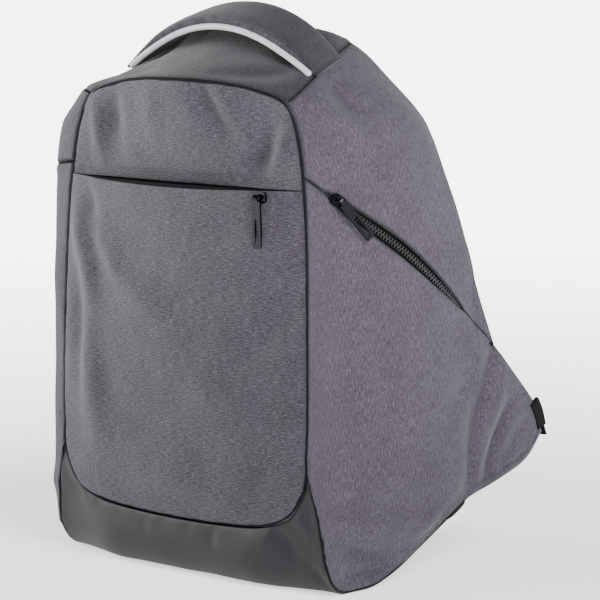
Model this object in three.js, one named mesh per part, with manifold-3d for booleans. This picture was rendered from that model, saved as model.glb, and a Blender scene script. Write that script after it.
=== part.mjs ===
// Anti theft backpack: a soft rucksack made of sewn panels, with side wings that carry the strap ends.
// Millimetres, +Z up. The front faces -Y, and +X is to the right as the bag is seen from the front.
// While it is drawn, Y = 0 is the front seam. At the end it is moved so that its box's bottom centre
// is the origin.
import * as THREE from 'three';
import Module from 'manifold-3d';
import { mergeVertices } from 'three/addons/utils/BufferGeometryUtils.js';

const wasm = await Module();
wasm.setup();

// Overall sizes of the bag
const frontHeight = 380;     // floor to the top of the front panel's seam
const crownHeight = 416;     // floor to the rear edge of the top panel
const bodyWidth = 310;       // across the fullest part of the sides
const frontWidth = 273;      // across the front panel's seam
const bodyDepth = 163;       // front seam to the back panel's rear face
const wingReach = 246;       // front seam to the tips of the wings
const cloth = 2.4;           // cloth with its thin foam
const backPadding = 9;       // padded back panel
const seamGap = 0.4;         // between two sewn edges
const looseGap = 0.5;        // between a wall and a piece that butts on it
const backGap = 0.9;         // round the padded back panel and under the main zip
const facetPlay = 0.7;       // by which a smooth wall's flat facets may stand in from it
const frontBulge = 8;        // how far the filled pocket panel bellies out
const upperBulge = 4;        // and the upper front panel
const pocketMouth = 15;      // how far the pocket's edge stands off the upper front panel
const pocketBackLift = 14;   // how far the pocket's back wall runs up behind the upper front panel
const pocketBackInset = 1;   // its side edges short of the sides' inner faces
const bindingRadius = 0.9;

// Zips
const sideMouth = 9;         // widest opening between the lips of a side zip
const tapeThick = 1.0;
const tapeMargin = 7;        // tape hidden behind each lip
const chainWidth = 5;
const chainThick = 1.4;
const sliderLength = 12;
const sliderWidth = 8.5;
const sliderThick = 2.6;
const sliderRound = 0.3;     // its corners' radius, as a share of its width
const barRadius = 0.8;       // the slider's crossbar, on which the puller hangs
const barClearance = 0.45;
const eyeWall = 0.95;
const eyeWidth = 3.2;
const postThick = 1.0;
const pullerLength = 38;
const pullerWidth = 7.5;
const pullerThick = 2;
const pullerLean = 4;        // degrees that a lying puller slopes back to the cloth
const pullerCorner = 1;
const windowCorner = 0.8;
const windowLength = 0.5;    // shares of the puller's length and width
const windowWidth = 0.42;
const windowSeat = 0.68;     // its middle, as a share of the puller's length
const stemOverlap = 1;       // by which the stem runs into the flat
const sliderSeat = 0.062;    // share of the slanting seam between a side zip's start and its slider
const sideHang = THREE.MathUtils.degToRad(48);   // how steeply a side puller hangs
const sideTurn = THREE.MathUtils.degToRad(13);   // between a side puller and its slider
const pocketDip = 3;         // how far the middle of the pocket's edge sags
const pocketZipWidth = 10;
const pocketZipDrop = 0.4;
const pocketSliderSeat = 0.86;
const pocketYaw = 0.0015;    // turn of the slider's face for each millimetre from the middle
const pocketSliderOut = 1;   // the slider's seat off the pocket's edge
const pocketPullerLean = 0.1;
const mainZipWidth = 20;
const mainZipInset = 22;     // side panel's outer face to the main zip's middle

// Carry handle
const handleWidth = 41;
const handleThick = 11;
const handleEndThick = 4;
const handleRise = 426;      // floor to the middle of the arch
const handleInset = 0.5;     // a shoulder seam to the handle's sewn end, across the bag
const handleForward = 1;     // and towards the front
const handlePipingRadius = 2.3;
const handleArch = 2.4;      // fullness of the arch: 2 is a parabola
const handleSplay = 0.29;    // how the ends follow the shoulder seams
const handleTaper = 35;      // length over which each end thins
const handleSeat = 0.52;     // place of the handle's ends along the shoulder seams
const handleLift = 2.9;      // a sewn end's middle over the shoulder seam
const cordSide = 0.47;       // the cord's place on the handle's section, as shares of its width
const cordLow = 0.22;        // and of its thickness
const cordOut = 0.75;        // the way the cord stands off: forward
const cordDown = 0.62;       // and down

// Shoulder straps
const strapWidth = 62;
const strapNarrowRows = 2;   // rows of its table over which a strap narrows to its adjuster
const strapThick = 9;
const strapTilt = 0.1;       // rise of a strap's outer edge, as a share of its width
const strapSplay = 0.12;     // how a strap's lower end turns towards the wing
const webbingWidth = 25;
const webbingThick = 1.6;
const lockWidth = 34;
const lockLength = 24;
const lockThick = 4;
const lockSlot = 3.4;        // the adjuster's two slots, along the strap
const lockCorner = 3;
const lockSlotCorner = 0.6;
const wingTabLength = 27;
const wingTabStandoff = 9;
const wingTabThick = 4;
const webbingSag = 6;
const webbingLeadIn = 0.6;   // straight stretch at each end, as a share of the webbing's width

// Derived
const halfWidth = bodyWidth / 2;
const halfFront = frontWidth / 2;
const crownLift = crownHeight - frontHeight;
const wingSpan = wingReach - bodyDepth;

// Half width of the sides at three depths, by height, as shares of half the body's width
const sideTable = [
  { height: 0.000, front: 0.968, middle: 0.948, rear: 0.968 },
  { height: 0.053, front: 0.966, middle: 0.952, rear: 0.968 },
  { height: 0.145, front: 0.938, middle: 0.966, rear: 0.970 },
  { height: 0.242, front: 0.878, middle: 0.975, rear: 0.974 },
  { height: 0.342, front: 0.881, middle: 0.990, rear: 0.981 },
  { height: 0.500, front: 0.871, middle: 1.000, rear: 0.984 },
  { height: 0.658, front: 0.852, middle: 0.990, rear: 0.962 },
  { height: 0.789, front: 0.823, middle: 0.955, rear: 0.885 },
  { height: 0.895, front: 0.768, middle: 0.880, rear: 0.762 },
  { height: 0.958, front: 0.681, middle: 0.775, rear: 0.620 },
  { height: 1.000, front: 0.568, middle: 0.668, rear: 0.503 },
  { height: 1.039, front: 0.420, middle: 0.560, rear: 0.426 },
  { height: 1.066, front: 0.290, middle: 0.452, rear: 0.355 },
];

// Right half of the front panel's seam, from the bottom middle round to the top middle.
// across: share of half the front width (side rows take the side's own width instead); depth: share of the
// body's depth; height: share of the front height; steps: pieces that the stretch to the next row is cut into
const frontSeamTable = [
  { across: 0.00, depth: -0.031, height: 0.112, steps: 2 },
  { across: 0.33, depth: -0.028, height: 0.114, steps: 2 },
  { across: 0.66, depth: -0.021, height: 0.123, steps: 2 },
  { across: 0.86, depth: -0.012, height: 0.147, steps: 2 },
  { across: 0.96, depth: -0.003, height: 0.195, steps: 2 },
  { side: true, depth: 0.000, height: 0.242, steps: 2 },
  { side: true, depth: 0.002, height: 0.342, steps: 2 },
  { side: true, depth: 0.008, height: 0.500, steps: 2 },
  { side: true, depth: 0.018, height: 0.658, steps: 2 },
  { side: true, depth: 0.025, height: 0.789, steps: 2 },
  { side: true, depth: 0.027, height: 0.816, steps: 4 },
  { side: true, depth: 0.032, height: 0.895, steps: 4 },
  { side: true, depth: 0.037, height: 0.958, steps: 2 },
  { across: 0.55, depth: 0.012, height: 0.985, steps: 2 },
  { across: 0.28, depth: -0.030, height: 0.997, steps: 2 },
  { across: 0.00, depth: -0.061, height: 1.000, steps: 0 },
];
const cornerRow = 3;      // the pocket panel's lower corner
const tipRow = 5;         // where the dark base, the side and the front panel meet
const mouthRow = 9;       // the pocket's mouth
const zipRow = 10;        // the start of the side zip's seam
const shoulderRow = 12;   // the front panel's upper corner

// Shoulder seam, from the front panel's corner to the rear of the top panel.
// lift: share of the crown's lift over the front height, added to the height
const shoulderTable = [
  { depth: 0.037, height: 0.958, lift: 0.00 },
  { depth: 0.245, height: 0.958, lift: 0.44 },
  { depth: 0.478, height: 0.958, lift: 0.86 },
  { depth: 0.705, height: 0.958, lift: 1.14 },
];

// Rear edge of a side panel, from the rear of the top panel down to the end of the slanting seam
const rearTable = [
  { depth: 0.705, height: 0.958, lift: 1.14 },
  { depth: 0.755, height: 0.958, lift: 0.75 },
  { depth: 0.816, height: 0.958, lift: 0.10 },
  { depth: 0.860, height: 0.916, lift: 0.00 },
  { depth: 0.884, height: 0.816, lift: 0.00 },
  { depth: 0.935, height: 0.730, lift: 0.00 },
  { depth: 0.990, height: 0.640, lift: 0.00 },
  { depth: 1.045, height: 0.560, lift: 0.00 },
  { depth: 1.150, height: 0.453, lift: 0.00 },
];

// Rear edge of a wing, from the slanting seam's end down to the tip.
// reach: share of the wing's span past the body
const wingTable = [
  { depth: 1.150, reach: 0.00, height: 0.453 },
  { depth: 1.000, reach: 0.58, height: 0.392 },
  { depth: 1.000, reach: 0.88, height: 0.322 },
  { depth: 1.000, reach: 1.00, height: 0.260 },
];

// Lower edge of a side panel, from the front tip of the dark base down, under the bag and out to the
// wing's tip
const underTable = [
  { depth: 0.000, reach: 0.00, height: 0.242 },
  { depth: 0.018, reach: 0.00, height: 0.137 },
  { depth: 0.043, reach: 0.00, height: 0.053 },
  { depth: 0.120, reach: 0.00, height: 0.006 },
  { depth: 0.245, reach: 0.00, height: 0.000 },
  { depth: 0.380, reach: 0.00, height: 0.004 },
  { depth: 0.534, reach: 0.00, height: 0.029 },
  { depth: 0.663, reach: 0.00, height: 0.061 },
  { depth: 0.822, reach: 0.00, height: 0.103 },
  { depth: 0.975, reach: 0.00, height: 0.145 },
  { depth: 1.000, reach: 0.39, height: 0.174 },
  { depth: 1.000, reach: 0.78, height: 0.208 },
  { depth: 1.000, reach: 1.00, height: 0.260 },
];
const baseRows = 9;       // rows of underTable that the base shares

// Middle of the base, from the front seam to the back panel: flat on the floor from the fourth row
const baseTable = [
  { depth: -0.031, height: 0.112 },
  { depth: -0.037, height: 0.058 },
  { depth: 0.000, height: 0.016 },
  { depth: 0.075, height: 0.000 },
  { depth: 0.230, height: 0.000 },
  { depth: 0.380, height: 0.000 },
  { depth: 0.534, height: 0.000 },
  { depth: 0.700, height: 0.000 },
  { depth: 0.850, height: 0.000 },
  { depth: 0.975, height: 0.047 },
];
const flatShare = 0.45;   // share of the base's half width that stays flat

// Rear face of the back panel, from bottom to top
const backTable = [
  { depth: 0.995, height: 0.050 },
  { depth: 1.040, height: 0.145 },
  { depth: 1.085, height: 0.264 },
  { depth: 1.100, height: 0.400 },
  { depth: 1.070, height: 0.500 },
  { depth: 1.010, height: 0.600 },
  { depth: 0.935, height: 0.710 },
  { depth: 0.865, height: 0.816 },
  { depth: 0.795, height: 0.916 },
  { depth: 0.745, height: 0.968 },
  { depth: 0.712, height: 1.070 },
];

// Slanting seam of a side panel, from the front seam to the rear edge
const slantTable = [
  { depth: 0.027, height: 0.816 },
  { depth: 0.250, height: 0.742 },
  { depth: 0.520, height: 0.665 },
  { depth: 0.800, height: 0.574 },
  { depth: 1.150, height: 0.453 },
];
const zipStart = 0.10;    // shares along the slanting seam between which it opens
const zipEnd = 0.84;
const tapeStart = 0.06;   // and between which its tape runs
const tapeEnd = 0.86;

// How finely the panels are cut into facets
const slantCount = 12;
const backColumns = 10;
const pocketBackCount = 10;
const mainZipCount = 36;
const backRows = 18;
const handleCount = 20;
const strapCount = 14;
const webbingCount = 12;

// Left half of the main zip's line, from its lower end to the top middle
const mainZipTable = [
  { across: 1.00, height: 0.26 },
  { across: 1.00, height: 0.45 },
  { across: 1.00, height: 0.62 },
  { across: 1.00, height: 0.78 },
  { across: 0.97, height: 0.90 },
  { across: 0.80, height: 0.99 },
  { across: 0.40, height: 1.03 },
  { across: 0.00, height: 1.035 },
];

// Middle line of a shoulder strap: share of half the body's width, of its depth and of the front height
const strapTable = [
  { across: 0.23, depth: 0.780, height: 0.935, thick: 0.5 },
  { across: 0.23, depth: 0.930, height: 0.930, thick: 1.0 },
  { across: 0.28, depth: 1.070, height: 0.870, thick: 1.0 },
  { across: 0.36, depth: 1.190, height: 0.760, thick: 1.0 },
  { across: 0.44, depth: 1.290, height: 0.630, thick: 1.0 },
  { across: 0.51, depth: 1.340, height: 0.500, thick: 0.8 },
  { across: 0.55, depth: 1.340, height: 0.410, thick: 0.5 },
];

const greyCloth = () => new THREE.MeshStandardMaterial({ color: 0x736e76, roughness: 0.9, metalness: 0 });
const darkCoated = () => new THREE.MeshStandardMaterial({ color: 0x4a4d50, roughness: 0.55, metalness: 0 });
const blackCloth = () => new THREE.MeshStandardMaterial({ color: 0x1e1e20, roughness: 0.8, metalness: 0 });
const lightCord = () => new THREE.MeshStandardMaterial({ color: 0xc8ccd0, roughness: 0.8, metalness: 0 });
const blackMetal = () => new THREE.MeshStandardMaterial({ color: 0x202023, roughness: 0.25, metalness: 0.9 });
const blackPlastic = () => new THREE.MeshStandardMaterial({ color: 0x18181a, roughness: 0.45, metalness: 0 });

const bag = new THREE.Group();
const body = new THREE.Group();
bag.add(body);

const point = (x, y, z) => new THREE.Vector3(x, y, z);
const mix = (a, b, share) => a + (b - a) * share;
const smooth = (share) => share * share * (3 - 2 * share);
const mirrored = (points) => points.map((p) => point(-p.x, p.y, p.z));

function add(name, geometry, material, place = null) {
  const mesh = new THREE.Mesh(geometry, material);
  mesh.name = name;
  if (place) place(mesh);
  body.add(mesh);
  return mesh;
}

// A table's column at a value of its key column, eased through the rows.
function columnAt(table, key, column, value) {
  const last = table.length - 1;
  const i = Math.min(Math.max(table.findIndex((row) => row[key] > value) - 1, 0), last - 1);
  const row = value >= table[last][key] ? last - 1 : i;
  const slope = (k) => {
    const before = table[Math.max(k - 1, 0)];
    const after = table[Math.min(k + 1, last)];
    return (after[column] - before[column]) / (after[key] - before[key]);
  };
  const span = table[row + 1][key] - table[row][key];
  const t = Math.min(Math.max((value - table[row][key]) / span, 0), 1);
  const rise = 3 * t * t - 2 * t * t * t;
  return mix(table[row][column], table[row + 1][column], rise)
    + span * (t * (1 - t) * (1 - t) * slope(row) - t * t * (1 - t) * slope(row + 1));
}

// Half width of a side panel's outer face at a depth and height.
function sideX(y, z) {
  const height = z / frontHeight;
  const t = Math.min(Math.max(y / bodyDepth, 0), 1);
  const front = columnAt(sideTable, 'height', 'front', height);
  const middle = columnAt(sideTable, 'height', 'middle', height);
  const rear = columnAt(sideTable, 'height', 'rear', height);
  return halfWidth * (front * (1 - t) * (1 - 2 * t) + middle * 4 * t * (1 - t) + rear * t * (2 * t - 1));
}

// A smooth line through points, at a parameter that counts rows.
function alongRows(points, at) {
  const last = points.length - 1;
  const i = Math.min(Math.max(Math.floor(at), 0), last - 1);
  const t = at - i;
  const before = i > 0 ? points[i - 1] : points[0].clone().multiplyScalar(2).sub(points[1]);
  const after = i < last - 1 ? points[i + 2] : points[last].clone().multiplyScalar(2).sub(points[last - 1]);
  const value = (axis) => {
    const [a, b, c, d] = [before[axis], points[i][axis], points[i + 1][axis], after[axis]];
    return b + 0.5 * t * (c - a + t * (2 * a - 5 * b + 4 * c - d + t * (3 * (b - c) + d - a)));
  };
  return point(value('x'), value('y'), value('z'));
}

function divided(points, count) {
  const last = points.length - 1;
  return Array.from({ length: count + 1 }, (_, k) => alongRows(points, (last * k) / count));
}

// Half width inside a side panel, at a distance in from its outer face.
function insideX(y, z, distance) {
  const step = 1;
  const dy = (sideX(y + step, z) - sideX(y - step, z)) / (2 * step);
  const dz = (sideX(y, z + step) - sideX(y, z - step)) / (2 * step);
  return sideX(y, z) - distance * Math.hypot(1, dy, dz);
}

// Outward normal of the right side panel.
function sideNormal(y, z) {
  const step = 1;
  const dy = (sideX(y + step, z) - sideX(y - step, z)) / (2 * step);
  const dz = (sideX(y, z + step) - sideX(y, z - step)) / (2 * step);
  return point(1, -dy, -dz).normalize();
}

const onSide = (p) => point(sideX(p.y, p.z), p.y, p.z);

function sideRow(row) {
  const y = bodyDepth * row.depth + wingSpan * (row.reach ?? 0);
  const z = frontHeight * row.height + crownLift * (row.lift ?? 0);
  return onSide(point(0, y, z));
}

// The front seam's stations, and the station of each row
const frontRows = frontSeamTable.map((row) => (row.side
  ? sideRow(row)
  : point(halfFront * row.across, bodyDepth * row.depth, frontHeight * row.height)));
const frontSeam = [];
const station = [];
frontSeamTable.forEach((row, i) => {
  station.push(frontSeam.length);
  for (let k = 0; k < Math.max(row.steps, 1); k += 1) {
    const p = alongRows(frontRows, i + k / Math.max(row.steps, 1));
    const onSidePanel = i >= tipRow && i < shoulderRow;
    frontSeam.push(onSidePanel ? onSide(p) : p);
  }
});

const seamPiece = (fromRow, toRow) => frontSeam.slice(station[fromRow], station[toRow] + 1);

// A seam piece that crosses the bag's middle: from the left row to the right one.
function acrossMiddle(half) {
  return [...mirrored(half.slice(1)).reverse(), ...half];
}

// A patch between four edges: front and rear run across, left and right join them.
function patch(front, rear, left, right) {
  const across = front.length - 1;
  const along = left.length - 1;
  return Array.from({ length: along + 1 }, (_, j) => Array.from({ length: across + 1 }, (_, i) => {
    const u = i / across;
    const v = j / along;
    const value = (axis) => mix(front[i][axis], rear[i][axis], v) + mix(left[j][axis], right[j][axis], u)
      - mix(mix(front[0][axis], front[across][axis], u), mix(rear[0][axis], rear[across][axis], u), v);
    return point(value('x'), value('y'), value('z'));
  }));
}

const mapGrid = (grid, change) => grid.map((row, j) => row.map((p, i) => change(p, i, j)));
const mirrorGrid = (grid) => mapGrid(grid, (p) => point(-p.x, p.y, p.z)).map((row) => row.reverse());

// A grid's point, or the nearest one where the row or column lies past its edges.
function gridPoint(grid, row, column) {
  const j = Math.min(Math.max(row, 0), grid.length - 1);
  return grid[j][Math.min(Math.max(column, 0), grid[0].length - 1)];
}

// Unit normals of a grid, turned to point away from the bag's middle.
function gridNormals(grid) {
  const centre = point(0, bodyDepth / 2, frontHeight / 2);
  const at = (row, column) => gridPoint(grid, row, column);
  const normals = mapGrid(grid, (p, i, j) => {
    const du = at(j, i + 1).clone().sub(at(j, i - 1));
    const dv = at(j + 1, i).clone().sub(at(j - 1, i));
    return du.cross(dv).normalize();
  });
  let facing = 0;
  grid.forEach((row, j) => row.forEach((p, i) => {
    facing += normals[j][i].dot(p.clone().sub(centre));
  }));
  return mapGrid(normals, (n) => (facing < 0 ? n.negate() : n));
}

// A closed mesh from vertex rings or grids, given as triangles by index.
function meshOf(vertices, triangles) {
  let volume = 0;
  triangles.forEach(([a, b, c]) => {
    volume += vertices[a].dot(vertices[b].clone().cross(vertices[c]));
  });
  const index = triangles.flatMap(([a, b, c]) => (volume < 0 ? [a, c, b] : [a, b, c]));
  const geometry = new THREE.BufferGeometry().setFromPoints(vertices);
  geometry.setIndex(index);
  geometry.computeVertexNormals();
  return geometry;
}

// A wall between two grids of the same size. Facets on the left are mirror images of those on the right.
function wallBetween(outer, inner) {
  const [rows, columns] = [outer.length, outer[0].length];
  const vertices = [...outer.flat(), ...inner.flat()];
  const at = (layer, j, i) => layer * rows * columns + j * columns + i;
  const triangles = [];
  const quad = (a, b, c, d) => {
    const onLeft = vertices[a].x + vertices[b].x + vertices[c].x + vertices[d].x < 0;
    if (onLeft) triangles.push([b, c, d], [b, d, a]);
    else triangles.push([a, b, c], [a, c, d]);
  };
  for (let j = 0; j < rows - 1; j += 1) {
    for (let i = 0; i < columns - 1; i += 1) {
      quad(at(0, j, i), at(0, j, i + 1), at(0, j + 1, i + 1), at(0, j + 1, i));
      quad(at(1, j + 1, i + 1), at(1, j, i + 1), at(1, j, i), at(1, j + 1, i));
    }
  }
  for (let i = 0; i < columns - 1; i += 1) {
    quad(at(0, 0, i), at(1, 0, i), at(1, 0, i + 1), at(0, 0, i + 1));
    quad(at(1, rows - 1, i), at(0, rows - 1, i), at(0, rows - 1, i + 1), at(1, rows - 1, i + 1));
  }
  for (let j = 0; j < rows - 1; j += 1) {
    quad(at(1, j, 0), at(0, j, 0), at(0, j + 1, 0), at(1, j + 1, 0));
    const last = columns - 1;
    quad(at(0, j, last), at(1, j, last), at(1, j + 1, last), at(0, j + 1, last));
  }
  return meshOf(vertices, triangles);
}

// A closed band through rings of the same number of points, with flat ends.
function bandThrough(rings) {
  const sides = rings[0].length;
  const vertices = rings.flat();
  const triangles = [];
  rings.slice(1).forEach((_, r) => {
    for (let k = 0; k < sides; k += 1) {
      const next = (k + 1) % sides;
      const [a, b] = [r * sides + k, r * sides + next];
      triangles.push([a, b, b + sides], [a, b + sides, a + sides]);
    }
  });
  const end = (rings.length - 1) * sides;
  for (let k = 1; k < sides - 1; k += 1) {
    triangles.push([0, k + 1, k], [end, end + k, end + k + 1]);
  }
  return meshOf(vertices, triangles);
}

// Section of a flat band with eased edges, as shares of its width and thickness
const bandSection = [
  { wide: 0.50, thick: 0.00 },
  { wide: 0.42, thick: 0.40 },
  { wide: 0.28, thick: 0.50 },
  { wide: -0.28, thick: 0.50 },
  { wide: -0.42, thick: 0.40 },
  { wide: -0.50, thick: 0.00 },
  { wide: -0.42, thick: -0.40 },
  { wide: -0.28, thick: -0.50 },
  { wide: 0.28, thick: -0.50 },
  { wide: 0.42, thick: -0.40 },
];
const flatSection = [
  { wide: 0.5, thick: 0.5 },
  { wide: -0.5, thick: 0.5 },
  { wide: -0.5, thick: -0.5 },
  { wide: 0.5, thick: -0.5 },
];

// A band along a line: across(i) gives its width's direction, size(i) its width and thickness there.
// With square ends its rings stand square to the line.
function bandAlong(line, section, across, size, square = true) {
  return bandThrough(line.map((p, i) => {
    const ahead = line[Math.min(i + 1, line.length - 1)].clone().sub(line[Math.max(i - 1, 0)]).normalize();
    const wide = across(i).clone().normalize();
    if (square) wide.addScaledVector(ahead, -wide.dot(ahead)).normalize();
    const up = wide.clone().cross(ahead).normalize();
    const { width, thick } = size(i);
    return section.map((s) => p.clone().addScaledVector(wide, s.wide * width)
      .addScaledVector(up, s.thick * thick));
  }));
}

// The shared lines of the panels
const lowerSide = seamPiece(tipRow, zipRow);
const upperSide = seamPiece(zipRow, shoulderRow);
const slantLine = divided(slantTable.map(sideRow), slantCount).map(onSide);
const shoulderLine = divided(shoulderTable.map(sideRow), slantCount).map(onSide);
const rearLine = divided(rearTable.map(sideRow).reverse(), upperSide.length - 1).map(onSide);
const wingLine = divided(wingTable.map(sideRow).reverse(), lowerSide.length - 1).map(onSide);
const underLine = underTable.map(sideRow);

// How far a lip of the side zip stands off the slanting seam.
function lipOffset(i) {
  const t = (i / slantCount - zipStart) / (zipEnd - zipStart);
  const open = t <= 0 || t >= 1 ? 0 : Math.sin(Math.PI * Math.sqrt(t));
  return (open * sideMouth) / 2;
}

function slantLip(direction) {
  return slantLine.map((p, i) => {
    const ahead = slantLine[Math.min(i + 1, slantCount)].clone().sub(slantLine[Math.max(i - 1, 0)]);
    const [dy, dz] = [-ahead.z, ahead.y];
    const length = Math.hypot(dy, dz);
    const shift = direction * lipOffset(i);
    return onSide(point(0, p.y + (shift * dy) / length, p.z + (shift * dz) / length));
  });
}

// Grids of the panels' outer faces
const belly = (grid, amount) => mapGrid(grid, (p, i, j) => {
  const u = (2 * i) / (grid[0].length - 1) - 1;
  const v = (2 * j) / (grid.length - 1) - 1;
  return point(p.x, p.y - amount * (1 - u * u) * (1 - v * v), p.z);
});
const mouthHalf = seamPiece(mouthRow, mouthRow)[0];
const seamAcross = seamPiece(cornerRow, mouthRow);
const bottomAcross = acrossMiddle(seamPiece(0, cornerRow));
const topAcross = acrossMiddle(seamPiece(shoulderRow, frontSeamTable.length - 1).reverse());

// The pocket's mouth from left to right, standing off by a share of the full opening.
function mouthLine(standoff, drop) {
  const count = bottomAcross.length - 1;
  return Array.from({ length: count + 1 }, (_, i) => {
    const u = (2 * i) / count - 1;
    const out = 1 - u * u;
    return point(mouthHalf.x * u, mouthHalf.y - standoff * out, mouthHalf.z - drop * out);
  });
}

const pocketGrid = belly(
  patch(bottomAcross, mouthLine(pocketMouth + upperBulge, pocketDip), mirrored(seamAcross), seamAcross),
  frontBulge,
);
const frontUpperSide = seamPiece(mouthRow, shoulderRow);
const frontUpperGrid = belly(
  patch(mouthLine(upperBulge, 0), topAcross, mirrored(frontUpperSide), frontUpperSide), upperBulge,
);
const lowerEnds = [[...lowerSide].reverse(), [...wingLine].reverse()];
const sideLowerGrid = mapGrid(patch(slantLip(-1), underLine, ...lowerEnds), onSide);
const sideUpperGrid = mapGrid(patch(slantLip(1), shoulderLine, upperSide, rearLine), onSide);
const rearCorner = shoulderLine[slantCount];
const topRear = topAcross.map((_, i) => {
  const u = (2 * i) / (topAcross.length - 1) - 1;
  return point(rearCorner.x * u, rearCorner.y, mix(crownHeight, rearCorner.z, u * u));
});
const topSlope = crownLift / (rearCorner.y - frontSeam[frontSeam.length - 1].y);
const topSteepness = Math.hypot(1, topSlope, (crownHeight - rearCorner.z) / (rearCorner.x / 2));
const topGrid = patch(topAcross, topRear, mirrored(shoulderLine), shoulderLine);

// The base: its middle profile rises to the sides' lower edges past the flat share.
const baseHalf = seamPiece(0, tipRow);
const baseAcross = acrossMiddle(baseHalf);
const baseGrid = Array.from({ length: baseRows + 1 }, (_, k) => baseAcross.map((p) => {
  if (k === 0) return p.clone();
  const edge = underLine[k];
  const share = p.x / frontSeam[station[tipRow]].x;
  const rise = smooth(Math.min(Math.max((Math.abs(share) - flatShare) / (1 - flatShare), 0), 1));
  return point(
    edge.x * share,
    mix(bodyDepth * baseTable[k].depth, edge.y, rise),
    mix(frontHeight * baseTable[k].height, edge.z, rise),
  );
}));

// Walls of the sewn panels: where panels share a seam, both follow its mitre.
const sewn = {
  front_upper: [frontUpperGrid, greyCloth()],
  pocket_panel: [pocketGrid, greyCloth()],
  side_lower_right: [sideLowerGrid, greyCloth()],
  side_lower_left: [mirrorGrid(sideLowerGrid), greyCloth()],
  side_upper_right: [sideUpperGrid, greyCloth()],
  side_upper_left: [mirrorGrid(sideUpperGrid), greyCloth()],
  top_panel: [topGrid, greyCloth()],
  base_panel: [baseGrid, darkCoated()],
};
const keyOf = (p) => [p.x, p.y, p.z].map((value) => Math.round(value * 20 + 0.313)).join();
const seamNormals = new Map();
const normalsOf = {};
Object.entries(sewn).forEach(([name, [grid]]) => {
  normalsOf[name] = gridNormals(grid);
  grid.forEach((row, j) => row.forEach((p, i) => {
    if (j > 0 && j < grid.length - 1 && i > 0 && i < row.length - 1) return;
    const list = seamNormals.get(keyOf(p)) ?? [];
    list.push(normalsOf[name][j][i]);
    seamNormals.set(keyOf(p), list);
  }));
});

// The step from a point of the outer face to the inner face.
function inwardStep(p, normal, thickness) {
  const list = seamNormals.get(keyOf(p)) ?? [normal];
  const sum = list.reduce((total, n) => total.add(n), point(0, 0, 0));
  return sum.multiplyScalar((-thickness * list.length) / sum.lengthSq());
}

// The step that opens half a seam's gap at a grid's edge, square to the seam.
function gapStep(grid, i, j, gap) {
  const step = point(0, 0, 0);
  const at = (row, column) => gridPoint(grid, row, column);
  const pull = (other, along) => {
    const inward = other.clone().sub(grid[j][i]);
    step.add(inward.addScaledVector(along, -inward.dot(along)).setLength(gap / 2));
  };
  const upwards = at(j + 1, i).clone().sub(at(j - 1, i)).normalize();
  const sideways = at(j, i + 1).clone().sub(at(j, i - 1)).normalize();
  if (i === 0) pull(grid[j][1], upwards);
  if (i === grid[0].length - 1) pull(grid[j][i - 1], upwards);
  if (j === 0) pull(grid[1][i], sideways);
  if (j === grid.length - 1) pull(grid[j - 1][i], sideways);
  return step;
}

Object.entries(sewn).forEach(([name, [grid, material]]) => {
  const outer = mapGrid(grid, (p, i, j) => p.clone().add(gapStep(grid, i, j, seamGap)));
  const inward = (i, j) => inwardStep(grid[j][i], normalsOf[name][j][i], cloth);
  const inner = mapGrid(outer, (p, i, j) => p.clone().add(inward(i, j)));
  add(name, wallBetween(outer, inner), material);
});

// The wall behind the pocket: clear of the pocket panel's inner face, inside the sides, base and upper panel.
const pocketBackGrid = Array.from({ length: pocketBackCount + 1 }, (_, j) => {
  const low = frontSeam[station[cornerRow]];
  const z = mix(low.z, mouthHalf.z + pocketBackLift, j / pocketBackCount);
  const straightFrom = frontSeam[station[tipRow]];
  const rounding = Math.sin((Math.min(Math.max((z - low.z) / (straightFrom.z - low.z), 0), 1) * Math.PI) / 2);
  const full = insideX(mouthHalf.y, Math.max(z, straightFrom.z), cloth + looseGap);
  const half = full - (straightFrom.x - low.x) * (1 - rounding) - pocketBackInset;
  return Array.from({ length: pocketBackCount + 1 }, (_, i) => {
    const u = (2 * i) / pocketBackCount - 1;
    return point(half * u, mouthHalf.y + 2 * (cloth + looseGap), z);
  });
});
const pocketBackRear = mapGrid(pocketBackGrid, (p) => point(p.x, p.y + cloth, p.z));
add('pocket_back', wallBetween(pocketBackGrid, pocketBackRear), greyCloth());

// The padded back panel, set inside the sides, the base and the top panel.
const backDepth = (z) => bodyDepth * columnAt(backTable, 'height', 'depth', z / frontHeight);
const rearOfBase = baseGrid[baseRows];

function backGrid(forward) {
  return Array.from({ length: backRows + 1 }, (_, j) => Array.from({ length: backColumns + 1 }, (_, i) => {
    const u = (2 * i) / backColumns - 1;
    const at = ((u + 1) / 2) * (rearOfBase.length - 1);
    const k = Math.min(Math.floor(at), rearOfBase.length - 2);
    const low = mix(rearOfBase[k].z, rearOfBase[k + 1].z, at - k) + cloth + backGap;
    const under = (cloth + backGap) * topSteepness + forward * topSlope;
    const high = mix(crownHeight, rearCorner.z, u * u) - under;
    const z = mix(low, high, j / backRows);
    const y = backDepth(z) - forward;
    return point((insideX(y, z, cloth + backGap) - facetPlay) * u, y, z);
  }));
}
add('back_panel', wallBetween(backGrid(0), backGrid(backPadding)), blackCloth());

// The binding round the front panel, just outside the seam's mitre.
const bindingLine = acrossMiddle(frontSeam).slice(0, -1).map((p) => {
  const side = point(Math.abs(p.x), p.y, p.z);
  const out = inwardStep(side, null, 1).normalize().negate();
  return p.clone().addScaledVector(point(Math.sign(p.x) * out.x, out.y, out.z), bindingRadius + seamGap);
});
const bindingPath = new THREE.CatmullRomCurve3(bindingLine, true);
const bindingSides = 5;
add('front_seam_binding',
  new THREE.TubeGeometry(bindingPath, bindingLine.length, bindingRadius, bindingSides, true), blackCloth());

// Section of a zip: a flat tape that rises to its chain
const zipSection = [
  { wide: 1, deep: 0 },
  { wide: 1, deep: 1 },
  { wide: -1, deep: 1 },
  { wide: -1, deep: 0 },
];

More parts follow.
